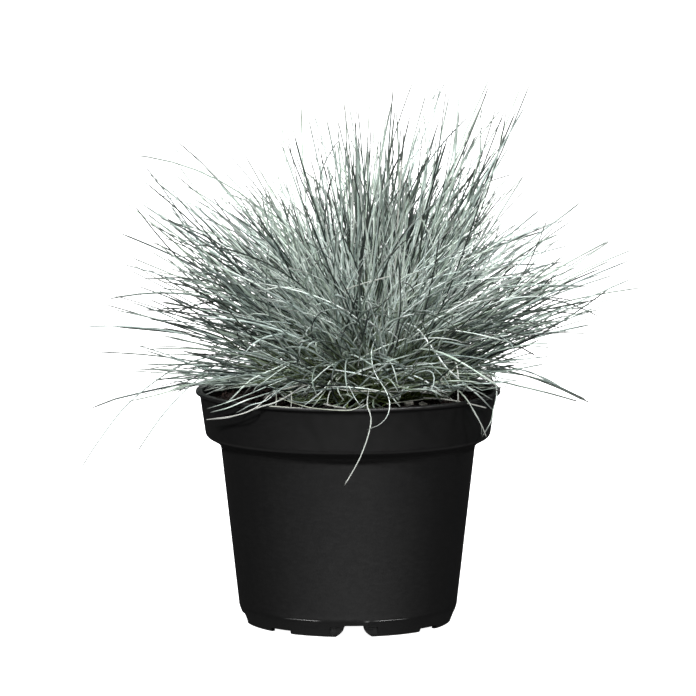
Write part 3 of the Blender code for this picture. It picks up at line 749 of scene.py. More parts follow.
def leaves(name, lines, half_widths, rolls, tones, material):
    """One object of many leaves. Each follows its middle line, (leaf, station, xyz), with a six-sided
    section of the given half width that comes to a point at the last station. The map "leaf" holds
    how far round and how far along, in decimetres, and "tone" how light, how blue and how dry each
    leaf is, with the share of its length. Each leaf has a strip of its own on the map OFBake."""
    count, stations = lines.shape[:2]
    sides = len(SECTION)
    side, upper = carried_along(lines, rolls)
    reach = half_widths[..., None, None]
    around = side[:, :, None] * SECTION[:, 0, None] + upper[:, :, None] * SECTION[:, 1, None]
    rings = lines[:, :-1, None] + reach[:, :-1] * around[:, :-1]
    points = np.concatenate([rings.reshape(count, -1, 3), lines[:, -1:]], 1)
    each = points.shape[1]

    k = np.arange(stations - 2)[:, None]
    j = np.arange(sides)
    after = (j + 1) % sides
    quads = np.stack([sides * k + j, sides * k + after, sides * (k + 1) + after, sides * (k + 1) + j], -1)
    last = sides * (stations - 2)
    tip = np.stack([last + j, last + after, np.full(sides, each - 1)], -1)
    own = np.concatenate([quads.ravel(), tip.ravel(), j[::-1]])
    corners = (own[None] + each * np.arange(count)[:, None]).ravel()
    sizes = np.tile(np.array([4] * (quads.size // 4) + [3] * sides + [sides]), count)
    thing = mesh_object(name, points.reshape(-1, 3), corners, sizes, material)

    steps = np.linalg.norm(np.diff(lines, axis=1), axis=-1)
    walked = np.concatenate([np.zeros((count, 1)), np.cumsum(steps, 1)], 1)
    share = walked / walked[:, -1:]
    left = np.broadcast_to(j / sides, quads.shape[:2])
    right = left + 1 / sides
    turn = np.concatenate([
        np.stack([left, right, right, left], -1).ravel(),
        np.stack([j / sides, (j + 1) / sides, (j + 0.5) / sides], -1).ravel(),
        (0.5 + 0.4 * np.cos(2 * np.pi * j / sides))[::-1],
    ])
    low = np.broadcast_to(k, quads.shape[:2])
    station = np.concatenate([
        np.stack([low, low, low + 1, low + 1], -1).ravel(),
        np.tile([stations - 2, stations - 2, stations - 1], sides),
        np.zeros(sides, int),
    ])
    along = walked[:, station]
    whole = share[:, station]
    leaf_map = thing.data.uv_layers.new(name="leaf")
    turns = np.broadcast_to(turn, along.shape)
    leaf_map.uv.foreach_set("vector", np.stack([turns, 10.0 * along], -1).astype(np.float32).ravel())
    strip = (np.arange(count)[:, None] + 0.06 + 0.88 * turns) / count
    height = 0.03 + 0.96 * whole
    height[:, -sides:] = 0.012 + 0.008 * np.sin(2 * np.pi * j / sides)[::-1]
    own_map = thing.data.uv_layers.new(name="OFBake")
    own_map.uv.foreach_set("vector", np.stack([strip, height], -1).astype(np.float32).ravel())
    thing.data.uv_layers.active = leaf_map

    shares = np.concatenate([np.repeat(share[:, :-1], sides, 1), share[:, -1:]], 1)
    colours = np.concatenate([np.repeat(tones[:, None], each, 1), shares[..., None]], -1)
    attribute = thing.data.attributes.new("tone", "FLOAT_COLOR", "POINT")
    attribute.data.foreach_set("color", colours.astype(np.float32).ravel())
    return thing


def tapered(stations, half_width, tip_share, base_share=1.0):
    """Half widths from foot to tip: base_share of full at the foot, full from a tenth on, then down
    to tip_share by one less the sixth power of the share of the length."""
    share = np.linspace(0.0, 1.0, stations)
    grown = base_share + (1.0 - base_share) * ramp(share, 0.1)
    fine = tip_share + (1.0 - tip_share) * (1.0 - share**6)
    return half_width[:, None] * grown * fine


def leaf_reading(tree, lines):
    """What a leaf's material reads off it: how far along it is, how light, how blue and how dry the
    leaf is, the share of its length, and its fibres."""
    leaf_place = add_node(tree, "ShaderNodeUVMap", uv_map="leaf").outputs[0]
    along = add_node(tree, "ShaderNodeSeparateXYZ", {0: leaf_place}).outputs[1]
    tone = add_node(tree, "ShaderNodeAttribute", attribute_name="tone")
    parts = add_node(tree, "ShaderNodeSeparateColor", {0: tone.outputs["Color"]})
    strands = effect(tree, fibre, leaf_place, lines)
    return along, *parts.outputs, tone.outputs["Alpha"], strands


crown_skin, tree, shader, place = new_material("leaf_base_sheaths")
_, light, _, dry, _, strands = leaf_reading(tree, 5.0)
clouds = effect(tree, mottle, place, 260.0)
colour = mixed(tree, sums(tree, "MULTIPLY", strands, light), OLIVE_DARK, OLIVE_PALE)
colour = mixed(tree, sums(tree, "MULTIPLY", dry, clouds), colour, SHEATH_DRY)
rough = stretched(tree, strands, 0.0, 1.0, 0.55, 0.80)
set_surface(tree, shader, colour, rough, strands, 0.6, 0.00025, 0.3)


def sheaths(count):
    """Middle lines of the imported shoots: the feet stand on a ball at even angles that turn by the
    golden angle from one to the next, and each line runs out from it and bends up a little."""
    number = np.arange(count) + 0.5
    ring = np.radians(SHEATH_EDGE) * np.sqrt(number / count)
    azimuth = number * np.pi * (3 - math.sqrt(5)) + chance.normal(0.0, 0.12, count)
    length = chance.uniform(*SHEATH_LENGTHS, count)
    share = np.linspace(SHEATH_START, 1.0, SHEATH_STATIONS)[None, :]
    tilt = ring[:, None] * (0.62 + 0.25 * share) + chance.normal(0.0, 0.06, (count, 1))
    turn = azimuth[:, None] + chance.normal(0.0, 0.10, (count, 1)) * share
    run = np.cumsum(heading(tilt, turn), 1) * (length / (SHEATH_STATIONS - 1))[:, None, None]
    foot = SHEATH_RADIUS * heading(ring, azimuth) + CROWN_FOCUS
    return foot[:, None] + run


sheath_lines = sheaths(SHEATH_COUNT)
sheath_width = chance.uniform(*SHEATH_HALF_WIDTHS, SHEATH_COUNT)
sheath_width = tapered(SHEATH_STATIONS, sheath_width, SHEATH_TIP)
sheath_light = chance.uniform(0.3, 1.0, SHEATH_COUNT)
sheath_blue = chance.uniform(0.0, 1.0, SHEATH_COUNT)
sheath_dryness = chance.uniform(0.0, 0.9, SHEATH_COUNT) ** 2
sheath_tones = np.stack([sheath_light, sheath_blue, sheath_dryness], -1)
rolls = chance.uniform(0.0, np.pi, (SHEATH_COUNT, 1)) + np.zeros((1, SHEATH_STATIONS))
sheath_bundle = leaves("crown_sheaths", sheath_lines, sheath_width, rolls, sheath_tones, crown_skin)
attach(sheath_bundle, "root")

dome_angle = np.radians(np.linspace(0.0, DOME_EDGE, DOME_RINGS))
dome_arc = DOME_RADIUS * np.stack([np.sin(dome_angle), np.cos(dome_angle)], -1)
dome_arc[:, 1] += CROWN_FOCUS_HEIGHT
dome_line = np.concatenate([dome_arc, [[0.0, dome_arc[-1, 1]]]])
dome = turned_object("crown_dome", dome_line, DOME_STEPS, crown_skin)
points = point_places(dome)
fluted = 1.0 + DOME_FLUTING * np.sin(DOME_FLUTES * np.arctan2(points[:, 1], points[:, 0]))
points[:, 0] = CROWN_X + points[:, 0] * fluted
points[:, 1] = CROWN_Y + points[:, 1] * fluted
dome.data.vertices.foreach_set("co", points.ravel())
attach(dome, "root")
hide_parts("crown")


# The leaves. Fine wiry leaves, each rolled into a needle under a millimetre thick with a waxy
# blue-grey bloom, olive at the foot. They rise from the crown in tufts, one tuft to a shoot.

TUFT_SEED = 11
LEAF_SEED = 5
# The tufts from the heart of the clump outwards: how many, azimuth of the first and step to the next,
# place on the crown, lean at the foot and at the tip, how late the bend comes, length, how light the
# leaves are, how far their lightness spreads, and leaves to a tuft. The angles are in degrees.
TIER_COLUMNS = "count first step ring lean fall haste length light spread leaves".split()
TIERS = {
    "heart": (3, 40.0, 120.0, 7.0, 6.0, 9.0, 1.0, 0.165, 0.36, 0.46, 46),
    "upper": (7, 12.0, 360.0 / 7, 18.0, 19.0, 31.0, 1.0, 0.168, 0.33, 0.46, 50),
    "middle": (10, -18.0, 36.0, 30.0, 34.0, 53.0, 0.9, 0.164, 0.28, 0.32, 56),
    "lower": (12, 3.0, 30.0, 41.0, 50.0, 74.0, 0.8, 0.155, 0.26, 0.26, 56),
    "skirt": (10, -28.0, 26.0, 52.0, 66.0, 95.0, 0.5, 0.140, 0.26, 0.26, 46),
    "front": (2, -100.0, 28.0, 52.0, 62.0, 80.0, 0.7, 0.062, 0.30, 0.42, 22),
}
MEAN_LENGTH = 0.165
# How far a tuft may be off its tier's azimuth, lean and fall, in degrees, and off its length.
TUFT_TURN = 2.0
TUFT_LEAN = 1.0
TUFT_FALL = 2.5
TUFT_LENGTHS = (0.97, 1.0)
LENGTH_OF_SIDES = (1.01, -0.06, -0.03)  # a tuft's length: in all, more for +X and more for +Y
# Three ways in which a leaf leaves its tuft: close in it, loose, and arching over. Spreads and
# droop are in degrees, and lengths are shares of the tuft's.
WAYS = (0.26, 0.52, 0.22)
AZIMUTH_SPREAD = np.array([8.0, 20.0, 28.0])
LEAN_SPREAD = np.array([6.0, 14.0, 18.0])
FALL_SPREAD = np.array([8.0, 27.0, 32.0])
DROOP = np.array([0.0, 4.0, 42.0])
SWEEP = np.array([12.0, 40.0, 62.0])
CLOSE_LENGTHS = (0.60, 0.96)
LOOSE_LENGTHS = (0.64, 0.17)
LENGTH_LIMITS = (0.33, 1.00)
HASTES = (0.85, 1.25)
WAVE = 7.0
RING_SPREAD = 5.0
FOOT_TURN_SPREAD = 0.30  # radians
FOOT_DEPTHS = (0.86, 1.0)  # shares of the crown's radius
FOOT_SPREAD = 0.009
FOOT_LIMIT = 0.021
FRONT_THINNING = 0.45  # of the low leaves that face the front, which mostly lie the other way
OPEN_LEFT = 0.1325
OPEN_LEFT_FROM = 0.036
OPEN_RIGHT = 0.1275
OPEN_RIGHT_FROM = 0.032
OPEN_RADIUS = 0.104
OPEN_RISE = 0.35
OPEN_SLOPE = 0.12
OPEN_FADE = 0.020
GROUND_RADII = [0.0, 0.066, 0.076, 0.0800, 0.0865, 0.105, 0.130, 0.180]
GROUND_HEIGHTS = [0.1262, 0.1252, 0.1262, 0.1314, 0.1314, 0.1300, 0.1240, 0.105]
GROUND_SOFTNESS = 0.0014
CHIPS_X = 0.0380
CHIPS_HALF_WIDTH = 0.0125
CHIPS_Y = -0.014
CHIPS_CLEAR = 0.1325
CHIPS_SLOPE = 0.131
CHIPS_FLAT = 0.012
CLUMP_TOP = 0.3085
FRONT_FROM = 0.078
FRONT_EDGE = 0.135
FRONT_RISE = 0.12
SIDE_FROM = 0.086
SIDE_EDGE = 0.140
SIDE_RISE = 0.52
SHORTEST = 0.15
LEAF_STEPS = 14
LEAF_HALF_WIDTH = 0.00047
THICKNESSES = (0.80, 1.20)
LEAF_TIP_SHARE = 0.80
LEAF_FOOT_SHARE = 1.20
TWIST = 1.2
DRYNESS = (0.5, 1.0)
# Painted light and shade: tufts that face the lamps spread wider between pale and dark leaves, for lit
# leaves and shaded gaps.
FRONT_SPREAD = 0.48  # how far the leaves' lightness spreads in tufts that face the front
# How long the clump's leaves are on its sides, in the plane across it: degrees up from +X round to
# -X, and millimetres. It has two shallow notches, at 46 and 112 degrees, as a clump has that leans
# apart, and is short low on the +X side.
REACH_AT = [-20, *range(4, 191, 6), 200]
REACH = [48, 66, 70, 80, 140, 120, 130, 130, 68, 72, 118, 136, 166, 172, 124, 122, 118, 118, 134, 86,
         114, 122, 126, 158, 130, 118, 116, 116, 94, 106, 92, 80, 70, 56]
MEAN_REACH = 118.0
LEAF_BLUE = (0.232, 0.314, 0.298, 1.0)
LEAF_GREEN = (0.210, 0.290, 0.212, 1.0)
LEAF_BLOOM = (0.810, 0.860, 0.828, 1.0)
LEAF_FOOT = (0.118, 0.158, 0.044, 1.0)
LEAF_TIP = (0.050, 0.052, 0.047, 1.0)
LEAF_STRAW = (0.440, 0.445, 0.415, 1.0)

leaf_skin, tree, shader, place = new_material("grass_leaf_waxy")
along, light, blue, dry, share, strands = leaf_reading(tree, 9.0)
colour = mixed(tree, blue, LEAF_GREEN, LEAF_BLUE)
tone = add_node(tree, "ShaderNodeMapRange", {"Value": light, 3: 0.12, 4: 1.9}).outputs[0]
shade = add_node(tree, "ShaderNodeCombineColor", {0: tone, 1: tone, 2: tone}).outputs[0]
colour = mixed(tree, 1.0, colour, shade, "MULTIPLY")
waxy = sums(tree, "POWER", light, 1.6)
patchy = stretched(tree, sums(tree, "ADD", strands, effect(tree, mottle, place, 85.0)), 0.2, 1.6, 0.30, 1.0)
colour = mixed(tree, sums(tree, "MULTIPLY", waxy, patchy), colour, LEAF_BLOOM)
greener = add_node(tree, "ShaderNodeMapRange", {"Value": blue, 3: 0.55, 4: 1.35}).outputs[0]
up_from_foot = stretched(tree, sums(tree, "MULTIPLY", along, greener), 0.08, 0.58)
colour = mixed(tree, up_from_foot, LEAF_FOOT, colour)
colour = mixed(tree, stretched(tree, share, 0.80, 1.0, 0.0, 0.88), colour, LEAF_TIP)
colour = mixed(tree, dry, colour, LEAF_STRAW)
rough = stretched(tree, strands, 0.0, 1.0, 0.38, 0.58)
set_surface(tree, shader, colour, rough, strands, 0.5, 0.00012, 0.35)

tuft_chance = random.Random(TUFT_SEED)
grown = np.random.default_rng(LEAF_SEED)


def reach_share(azimuth, tilt):
    """How long leaves are on this side of the clump against the mean: what REACH says for the
    direction seen across the clump, less so the more the leaf points to the front or the back."""
    across = np.sin(tilt) * np.cos(azimuth)
    up = np.cos(tilt)
    seen = np.degrees(np.arctan2(up, across))
    seen = np.where(seen < -90.0, seen + 360.0, seen)
    share = np.interp(seen, REACH_AT, REACH) / MEAN_REACH
    flat = ramp(np.hypot(across, up) - 0.45, 0.5)
    flat = flat * flat * (3 - 2 * flat)
    return 1.0 + (share - 1.0) * flat


def above_ground(lines):
    """Lifts lines off the compost, the lip and the chips: a height h over the ground becomes
    s ln(1 + exp(h / s)), which is h high up and never under nought. To the left and right of the
    crown the ground is a plane that rises to the front, as the clump leaves the compost open there."""
    x, y, z = np.moveaxis(lines, -1, 0)
    from_axis = np.hypot(x, y)
    ground = np.interp(from_axis, GROUND_RADII, GROUND_HEIGHTS)
    to_right = x - CROWN_X - OPEN_RIGHT_FROM
    beside = np.maximum(ramp(CROWN_X - OPEN_LEFT_FROM - x, OPEN_FADE), ramp(to_right, OPEN_FADE))
    edge = np.where(x < 0.0, OPEN_LEFT, OPEN_RIGHT + OPEN_RISE * to_right) - OPEN_SLOPE * y
    ground = ground + beside * ramp(OPEN_RADIUS - from_axis, 0.012) * np.maximum(edge - ground, 0.0)
    over_chips = ramp(CHIPS_HALF_WIDTH - np.abs(x - CHIPS_X), 0.004) * ramp(CHIPS_Y - y, 0.006)
    clear = CHIPS_CLEAR + CHIPS_SLOPE * np.maximum(CHIPS_Y - CHIPS_FLAT - y, 0.0)
    ground = ground + over_chips * np.maximum(clear - ground, 0.0)
    over = (z - ground) / GROUND_SOFTNESS
    lifted = lines.copy()
    lifted[..., 2] = ground + GROUND_SOFTNESS * np.logaddexp(0.0, np.clip(over, -50.0, 50.0))
    return np.where((over > 8.0)[..., None], lines, lifted)


def divided(lines, kept, stations):
    """Points evenly divided over the kept share of each line."""
    place = np.linspace(0.0, 1.0, stations)[None] * kept[:, None] * (lines.shape[1] - 1)
    before = np.minimum(place.astype(int), lines.shape[1] - 2)
    part = (place - before)[..., None]
    rows = np.arange(len(lines))[:, None]
    return lines[rows, before] * (1 - part) + lines[rows, before + 1] * part


def within_clump(lines):
    """Cuts leaves short that pass the clump's top, that would hang over the lip in front, or that lie
    under the clump's open lower edge on the +X side, which rises from the lip."""
    count, stations = lines.shape[:2]
    fine = divided(lines, np.ones(count), 8 * stations)
    x, y, z = np.moveaxis(fine, -1, 0)
    radius = np.hypot(x, y)
    low = z < FRONT_EDGE + FRONT_RISE * (radius - LIP_RADIUS)
    over_lip = (radius > FRONT_FROM) & (y < -0.35 * radius) & low
    under_edge = (x > SIDE_FROM) & (z < SIDE_EDGE + SIDE_RISE * (x - SIDE_FROM))
    outside = (z > CLUMP_TOP) | over_lip | under_edge
    kept = np.where(outside.any(1), np.maximum(outside.argmax(1) / (8 * stations), SHORTEST), 1.0)
    return divided(lines, kept, stations)


def leaf_lines(foot, azimuth, lean, fall, haste, sweep, length, wave, phase, steps=LEAF_STEPS):
    """Middle lines of leaves, (leaf, station, xyz). At the share u of its length a leaf is tilted
    from upright by lean + (fall - lean) u^haste and heads for azimuth + sweep u^1.4, both with a
    slow wave added. The line is the running sum of its steps."""
    u = (np.arange(steps) + 0.5) / steps
    tilt = lean[:, None] + (fall - lean)[:, None] * u ** haste[:, None]
    tilt = tilt + wave[:, None] * np.sin(phase[:, None] + 4.5 * u)
    turn = azimuth[:, None] + sweep[:, None] * u**1.4
    turn = turn + wave[:, None] * np.cos(1.7 * phase[:, None] + 4.0 * u)
    run = np.cumsum(heading(tilt, turn), 1) * (length / steps)[:, None, None]
    return np.concatenate([foot[:, None], foot[:, None] + run], 1)


def feet_on_crown(azimuth, ring):
    """Points on the crown's ball, each a little off the given ring angle and azimuth."""
    count = len(ring)
    radius = CROWN_RADIUS * grown.uniform(*FOOT_DEPTHS, count)
    spread = grown.normal(0.0, FOOT_SPREAD, (count, 2))
    x = radius * np.sin(ring) * np.cos(azimuth) + spread[:, 0]
    y = radius * np.sin(ring) * np.sin(azimuth) + spread[:, 1]
    inside = np.minimum(1.0, FOOT_LIMIT / np.maximum(np.hypot(x, y), 1e-6))
    x, y = x * inside, y * inside
    z = np.sqrt(np.maximum(radius**2 - x**2 - y**2, 1e-6))
    return CROWN_FOCUS + np.stack([x, y, z], -1)


def front_share(azimuth):
    """How far an azimuth, in degrees, faces the front: the square of minus its sine."""
    return max(0.0, -math.sin(math.radians(azimuth))) ** 2


def tuft_lines(tuft):
    """Middle lines of one tuft's leaves, each spread about the tuft's own azimuth, lean and fall."""
    low = math.sin(math.radians(tuft["lean"])) ** 2
    count = round(tuft["leaves"] * (1.0 - FRONT_THINNING * low * front_share(tuft["azimuth"])))
    way = grown.choice(3, count, p=WAYS)
    lean = tuft["lean"] + grown.normal(0.0, 1.0, count) * LEAN_SPREAD[way]
    fall = lean + tuft["fall"] - tuft["lean"]
    fall = fall + grown.normal(0.0, 1.0, count) * FALL_SPREAD[way] + DROOP[way]
    narrow = max(math.sin(math.radians((tuft["lean"] + tuft["fall"]) / 2)), 0.30)
    azimuth = tuft["azimuth"] + grown.normal(0.0, 1.0, count) * AZIMUTH_SPREAD[way] / narrow
    sweep = np.radians(grown.normal(0.0, 1.0, count) * SWEEP[way])
    lean, fall, azimuth = np.radians(lean), np.radians(fall), np.radians(azimuth)
    azimuth = azimuth + np.pi * (lean < 0)
    lean = np.abs(lean)
    ring = np.radians(tuft["ring"] + grown.normal(0.0, RING_SPREAD, count))
    foot_azimuth = math.radians(tuft["azimuth"]) + grown.normal(0.0, FOOT_TURN_SPREAD, count)
    foot = feet_on_crown(foot_azimuth, ring)
    share = reach_share(azimuth + 0.4 * sweep, np.clip((lean + fall) / 2, 0.0, 1.75))
    close = grown.uniform(*CLOSE_LENGTHS, count)
    loose = grown.normal(*LOOSE_LENGTHS, count)
    length = np.clip(np.where(way == 0, close, loose), *LENGTH_LIMITS)
    length = length * share * (MEAN_LENGTH + tuft["length"]) / 2
    haste = tuft["haste"] * grown.uniform(*HASTES, count)
    wave = np.radians(np.abs(grown.normal(0.0, WAVE, count)))
    phase = grown.uniform(0.0, 2 * np.pi, count)
    return leaf_lines(foot, azimuth, lean, fall, haste, sweep, length, wave, phase)


def dress(name, lines, half_width, light, dry=0.008):
    """A piece of leaves on middle lines, each with its own thickness, turn and tone. The light is
    the leaves' mean lightness and its spread, and dry the share of dry leaves."""
    count, stations = lines.shape[:2]
    full = half_width * grown.uniform(*THICKNESSES, count)
    widths = tapered(stations, full, LEAF_TIP_SHARE, LEAF_FOOT_SHARE)
    rolls = grown.uniform(0.0, 2 * np.pi, (count, 1))
    rolls = rolls + grown.normal(0.0, TWIST, (count, 1)) * np.linspace(0, 1, stations)
    dryness = np.where(grown.uniform(0.0, 1.0, count) < dry, grown.uniform(*DRYNESS, count), 0.0)
    swing = np.sin(np.pi * (grown.uniform(0.0, 1.0, count) - 0.5))
    tone = np.clip(light[0] + light[1] * swing, 0.0, 1.0)
    tones = np.stack([tone, grown.uniform(0.0, 1.0, count), dryness], -1)
    piece = leaves(name, lines, widths, rolls, tones, leaf_skin)
    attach(piece, "root")
    return piece


for tier_name, row in TIERS.items():
    tier = dict(zip(TIER_COLUMNS, row))
    for number in range(tier["count"]):
        azimuth = tier["first"] + tier["step"] * number
        outward = math.radians(azimuth)
        even, more_right, more_back = LENGTH_OF_SIDES
        side_length = even + more_right * math.cos(outward) + more_back * math.sin(outward)
        tuft = dict(tier)
        tuft["azimuth"] = azimuth + tuft_chance.uniform(-TUFT_TURN, TUFT_TURN)
        tuft["lean"] = tier["lean"] + tuft_chance.uniform(-TUFT_LEAN, TUFT_LEAN)
        tuft["fall"] = tier["fall"] + tuft_chance.uniform(-TUFT_FALL, TUFT_FALL)
        tuft["length"] = tier["length"] * side_length * tuft_chance.uniform(*TUFT_LENGTHS)
        label = f"{tier_name}_{number + 1:02d}"
        # Painted light and shade: a wider spread of lightness in the tufts that face the front.
        spread = tier["spread"] + (FRONT_SPREAD - tier["spread"]) * front_share(azimuth)
        lines = within_clump(above_ground(tuft_lines(tuft)))
        blades = dress(f"blades_{label}", lines, LEAF_HALF_WIDTH, (tier["light"], spread))
        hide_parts(f"tuft_{label}")


# The crossing leaves. Loose leaves all round the clump that set out with the rest and bend across
# them. Those in front and low down are painted palest, as painted light from the lamps in front,
# and the oldest are curled at the tip.

# How many, their shortest and longest length, between which azimuths and leans they set out, how far
# they turn aside, half width, lightness and its spread, and share of dry ones. Angles in degrees.
CROSSING = {
    # The lightness of the front and low leaves, near 1, is painted light: the same leaves round the sides
    # and back are darker.
    "front": (330, (0.080, 0.150), (-160.0, -20.0), (8.0, 46.0), 42.0, 0.00041, (0.98, 0.05), 0.01),
    "round": (340, (0.080, 0.140), (-20.0, 205.0), (8.0, 46.0), 42.0, 0.00044, (0.60, 0.28), 0.01),
    "low": (130, (0.045, 0.090), (-165.0, -15.0), (38.0, 74.0), 60.0, 0.00040, (0.98, 0.05), 0.08),
}
CROSSING_FALLS = (5.0, 60.0)  # how far a leaf leans on from foot to tip
CROSSING_RINGS = (12.0, 52.0)
CROSSING_HASTES = (0.8, 1.8)
CROSSING_WAVE = 6.0
CURLED = (22, (0.060, 0.105), (-180.0, 180.0), (8.0, 46.0), 42.0)
CURLED_STEPS = 47
CURL_FROM = 0.70
CURL_RADII = (0.0018, 0.0036)
CURL_TURNS = (0.55, 1.15)
CURL_PITCH = 0.0022
CURLED_LIGHT = (0.75, 0.12)


def crossing_shape(count, lengths, facing, leans, aside):
    """What leaf_lines takes for leaves that start anywhere on the crown and turn aside on their
    way. All the angles are in degrees."""
    azimuth = np.radians(grown.uniform(*facing, count))
    lean = np.radians(grown.uniform(*leans, count))
    fall = lean + np.radians(grown.uniform(*CROSSING_FALLS, count))
    sweep = np.radians(grown.normal(0.0, aside, count))
    foot_azimuth = azimuth + grown.normal(0.0, 0.4, count)
    foot = feet_on_crown(foot_azimuth, np.radians(grown.uniform(*CROSSING_RINGS, count)))
    length = grown.uniform(*lengths, count)
    haste = grown.uniform(*CROSSING_HASTES, count)
    wave = np.radians(np.abs(grown.normal(0.0, CROSSING_WAVE, count)))
    return foot, azimuth, lean, fall, haste, sweep, length, wave, grown.uniform(0.0, 2 * np.pi, count)


def curled(lines, radius, turns):
    """Lets each line end in a curl: past the share CURL_FROM of its stations, it turns in its own
    plane at an even rate, through the given turns, on a circle that tightens to the radius."""
    stations = lines.shape[1]
    start = int(CURL_FROM * stations)
    ahead = lines[:, start] - lines[:, start - 1]
    ahead /= np.linalg.norm(ahead, axis=-1, keepdims=True)
    down = np.array([0.0, 0.0, -1.0]) - ahead * -ahead[:, 2:]
    down /= np.linalg.norm(down, axis=-1, keepdims=True)
    share = (np.arange(stations - start) + 1) / (stations - start)
    angle = 2 * np.pi * turns[:, None] * share
    size = radius[:, None] * (1.5 - 0.5 * share)
    curl = lines[:, start : start + 1] + (size * np.sin(angle))[..., None] * ahead[:, None]
    curl = curl + (size * (1 - np.cos(angle)))[..., None] * down[:, None]
    curl = curl + (CURL_PITCH * share)[None, :, None] * np.cross(ahead, down)[:, None]
    return np.concatenate([lines[:, :start], curl], 1)


shapes = [crossing_shape(*row[:5]) for row in CROSSING.values()]
for (belt, row), shape in zip(CROSSING.items(), shapes):
    dress(f"blades_crossing_{belt}", within_clump(above_ground(leaf_lines(*shape))), *row[5:])

lines = leaf_lines(*crossing_shape(*CURLED), steps=CURLED_STEPS)
lines = curled(lines, grown.uniform(*CURL_RADII, CURLED[0]), grown.uniform(*CURL_TURNS, CURLED[0]))
dress("blades_curled", above_ground(lines), LEAF_HALF_WIDTH, CURLED_LIGHT, 0.0)


# The longest leaves. Single leaves of the same tufts that reach past the rest all round.

# Azimuth, tilt of the straight line from foot to tip, length in millimetres and how far the leaf
# bends on its way, in degrees.
LONGEST = [
    (180, 82, 157, 20), (177, 58, 171, 16), (184, 63, 162, 22), (173, 46, 174, 14), (186, 36, 167, 12),
    (182, 71, 144, 16), (176, 88, 123, 26), (173, 20, 154, 8), (211, 10, 162, 9), (146, 8, 159, 10),
    (178, 94, 145, 40), (183, 105, 136, 56), (180, 105, 166, 50), (187, 52, 160, 18), (170, 67, 150, 12),
    (227, 4, 166, 6), (20, 5, 177, 7), (304, 8, 168, 9), (2, 15, 178, 8), (353, 29, 165, 10),
    (6, 28, 156, 12), (356, 35, 155, 15), (3, 50, 153, 12), (0, 62, 174, 10), (357, 63, 168, 8),
    (354, 43, 146, 12), (4, 68, 140, 14), (357, 73, 134, 18), (2, 58, 164, 10), (359, 88, 106, 30),
    (2, 93, 122, 44), (268, 40, 150, 26), (95, 42, 156, 22), (60, 52, 158, 26),
    (122, 55, 160, 24), (300, 55, 146, 30), (240, 60, 142, 34), (85, 68, 150, 30), (40, 30, 166, 14),
    (140, 36, 165, 16), (75, 20, 168, 12), (262, 22, 158, 16),
]
CROWN_HEIGHT = 0.128
LONGEST_HALF_WIDTH = 0.00052
LONGEST_LIGHT = (0.34, 0.26)
LONGEST_WAVE = 0.02

azimuth, tilt, reach, bend = np.array(LONGEST, float).T
count = len(azimuth)
azimuth, tilt, bend = np.radians(azimuth), np.radians(tilt), np.radians(bend)
foot = feet_on_crown(azimuth, tilt * 0.55)
middle = np.array([CROWN_X, CROWN_Y, CROWN_HEIGHT])
chord = middle + heading(tilt, azimuth) * (reach / 1000)[:, None] - foot
length = np.linalg.norm(chord, axis=-1)
azimuth = np.arctan2(chord[:, 1], chord[:, 0])
tilt = np.arccos(chord[:, 2] / length)
sweep = grown.normal(0.0, 0.08, count)
# A line that bends by b is about 1 + b^2 / 24 times as long as the straight one.
length = length * (1 + bend**2 / 24)
wave = np.full(count, LONGEST_WAVE)
phase = grown.uniform(0.0, 2 * np.pi, count)
lean, fall = tilt - bend / 2, tilt + bend / 2
lines = leaf_lines(foot, azimuth - 0.4 * sweep, lean, fall, np.ones(count), sweep, length, wave, phase)
dress("blades_longest", within_clump(above_ground(lines)), LONGEST_HALF_WIDTH, LONGEST_LIGHT)


# The fallen leaves. Leaves that have bent right over: some lie over the lip or hang down the pot,
# some droop clear of it, and the dead ones on the compost are dry and straw-coloured.

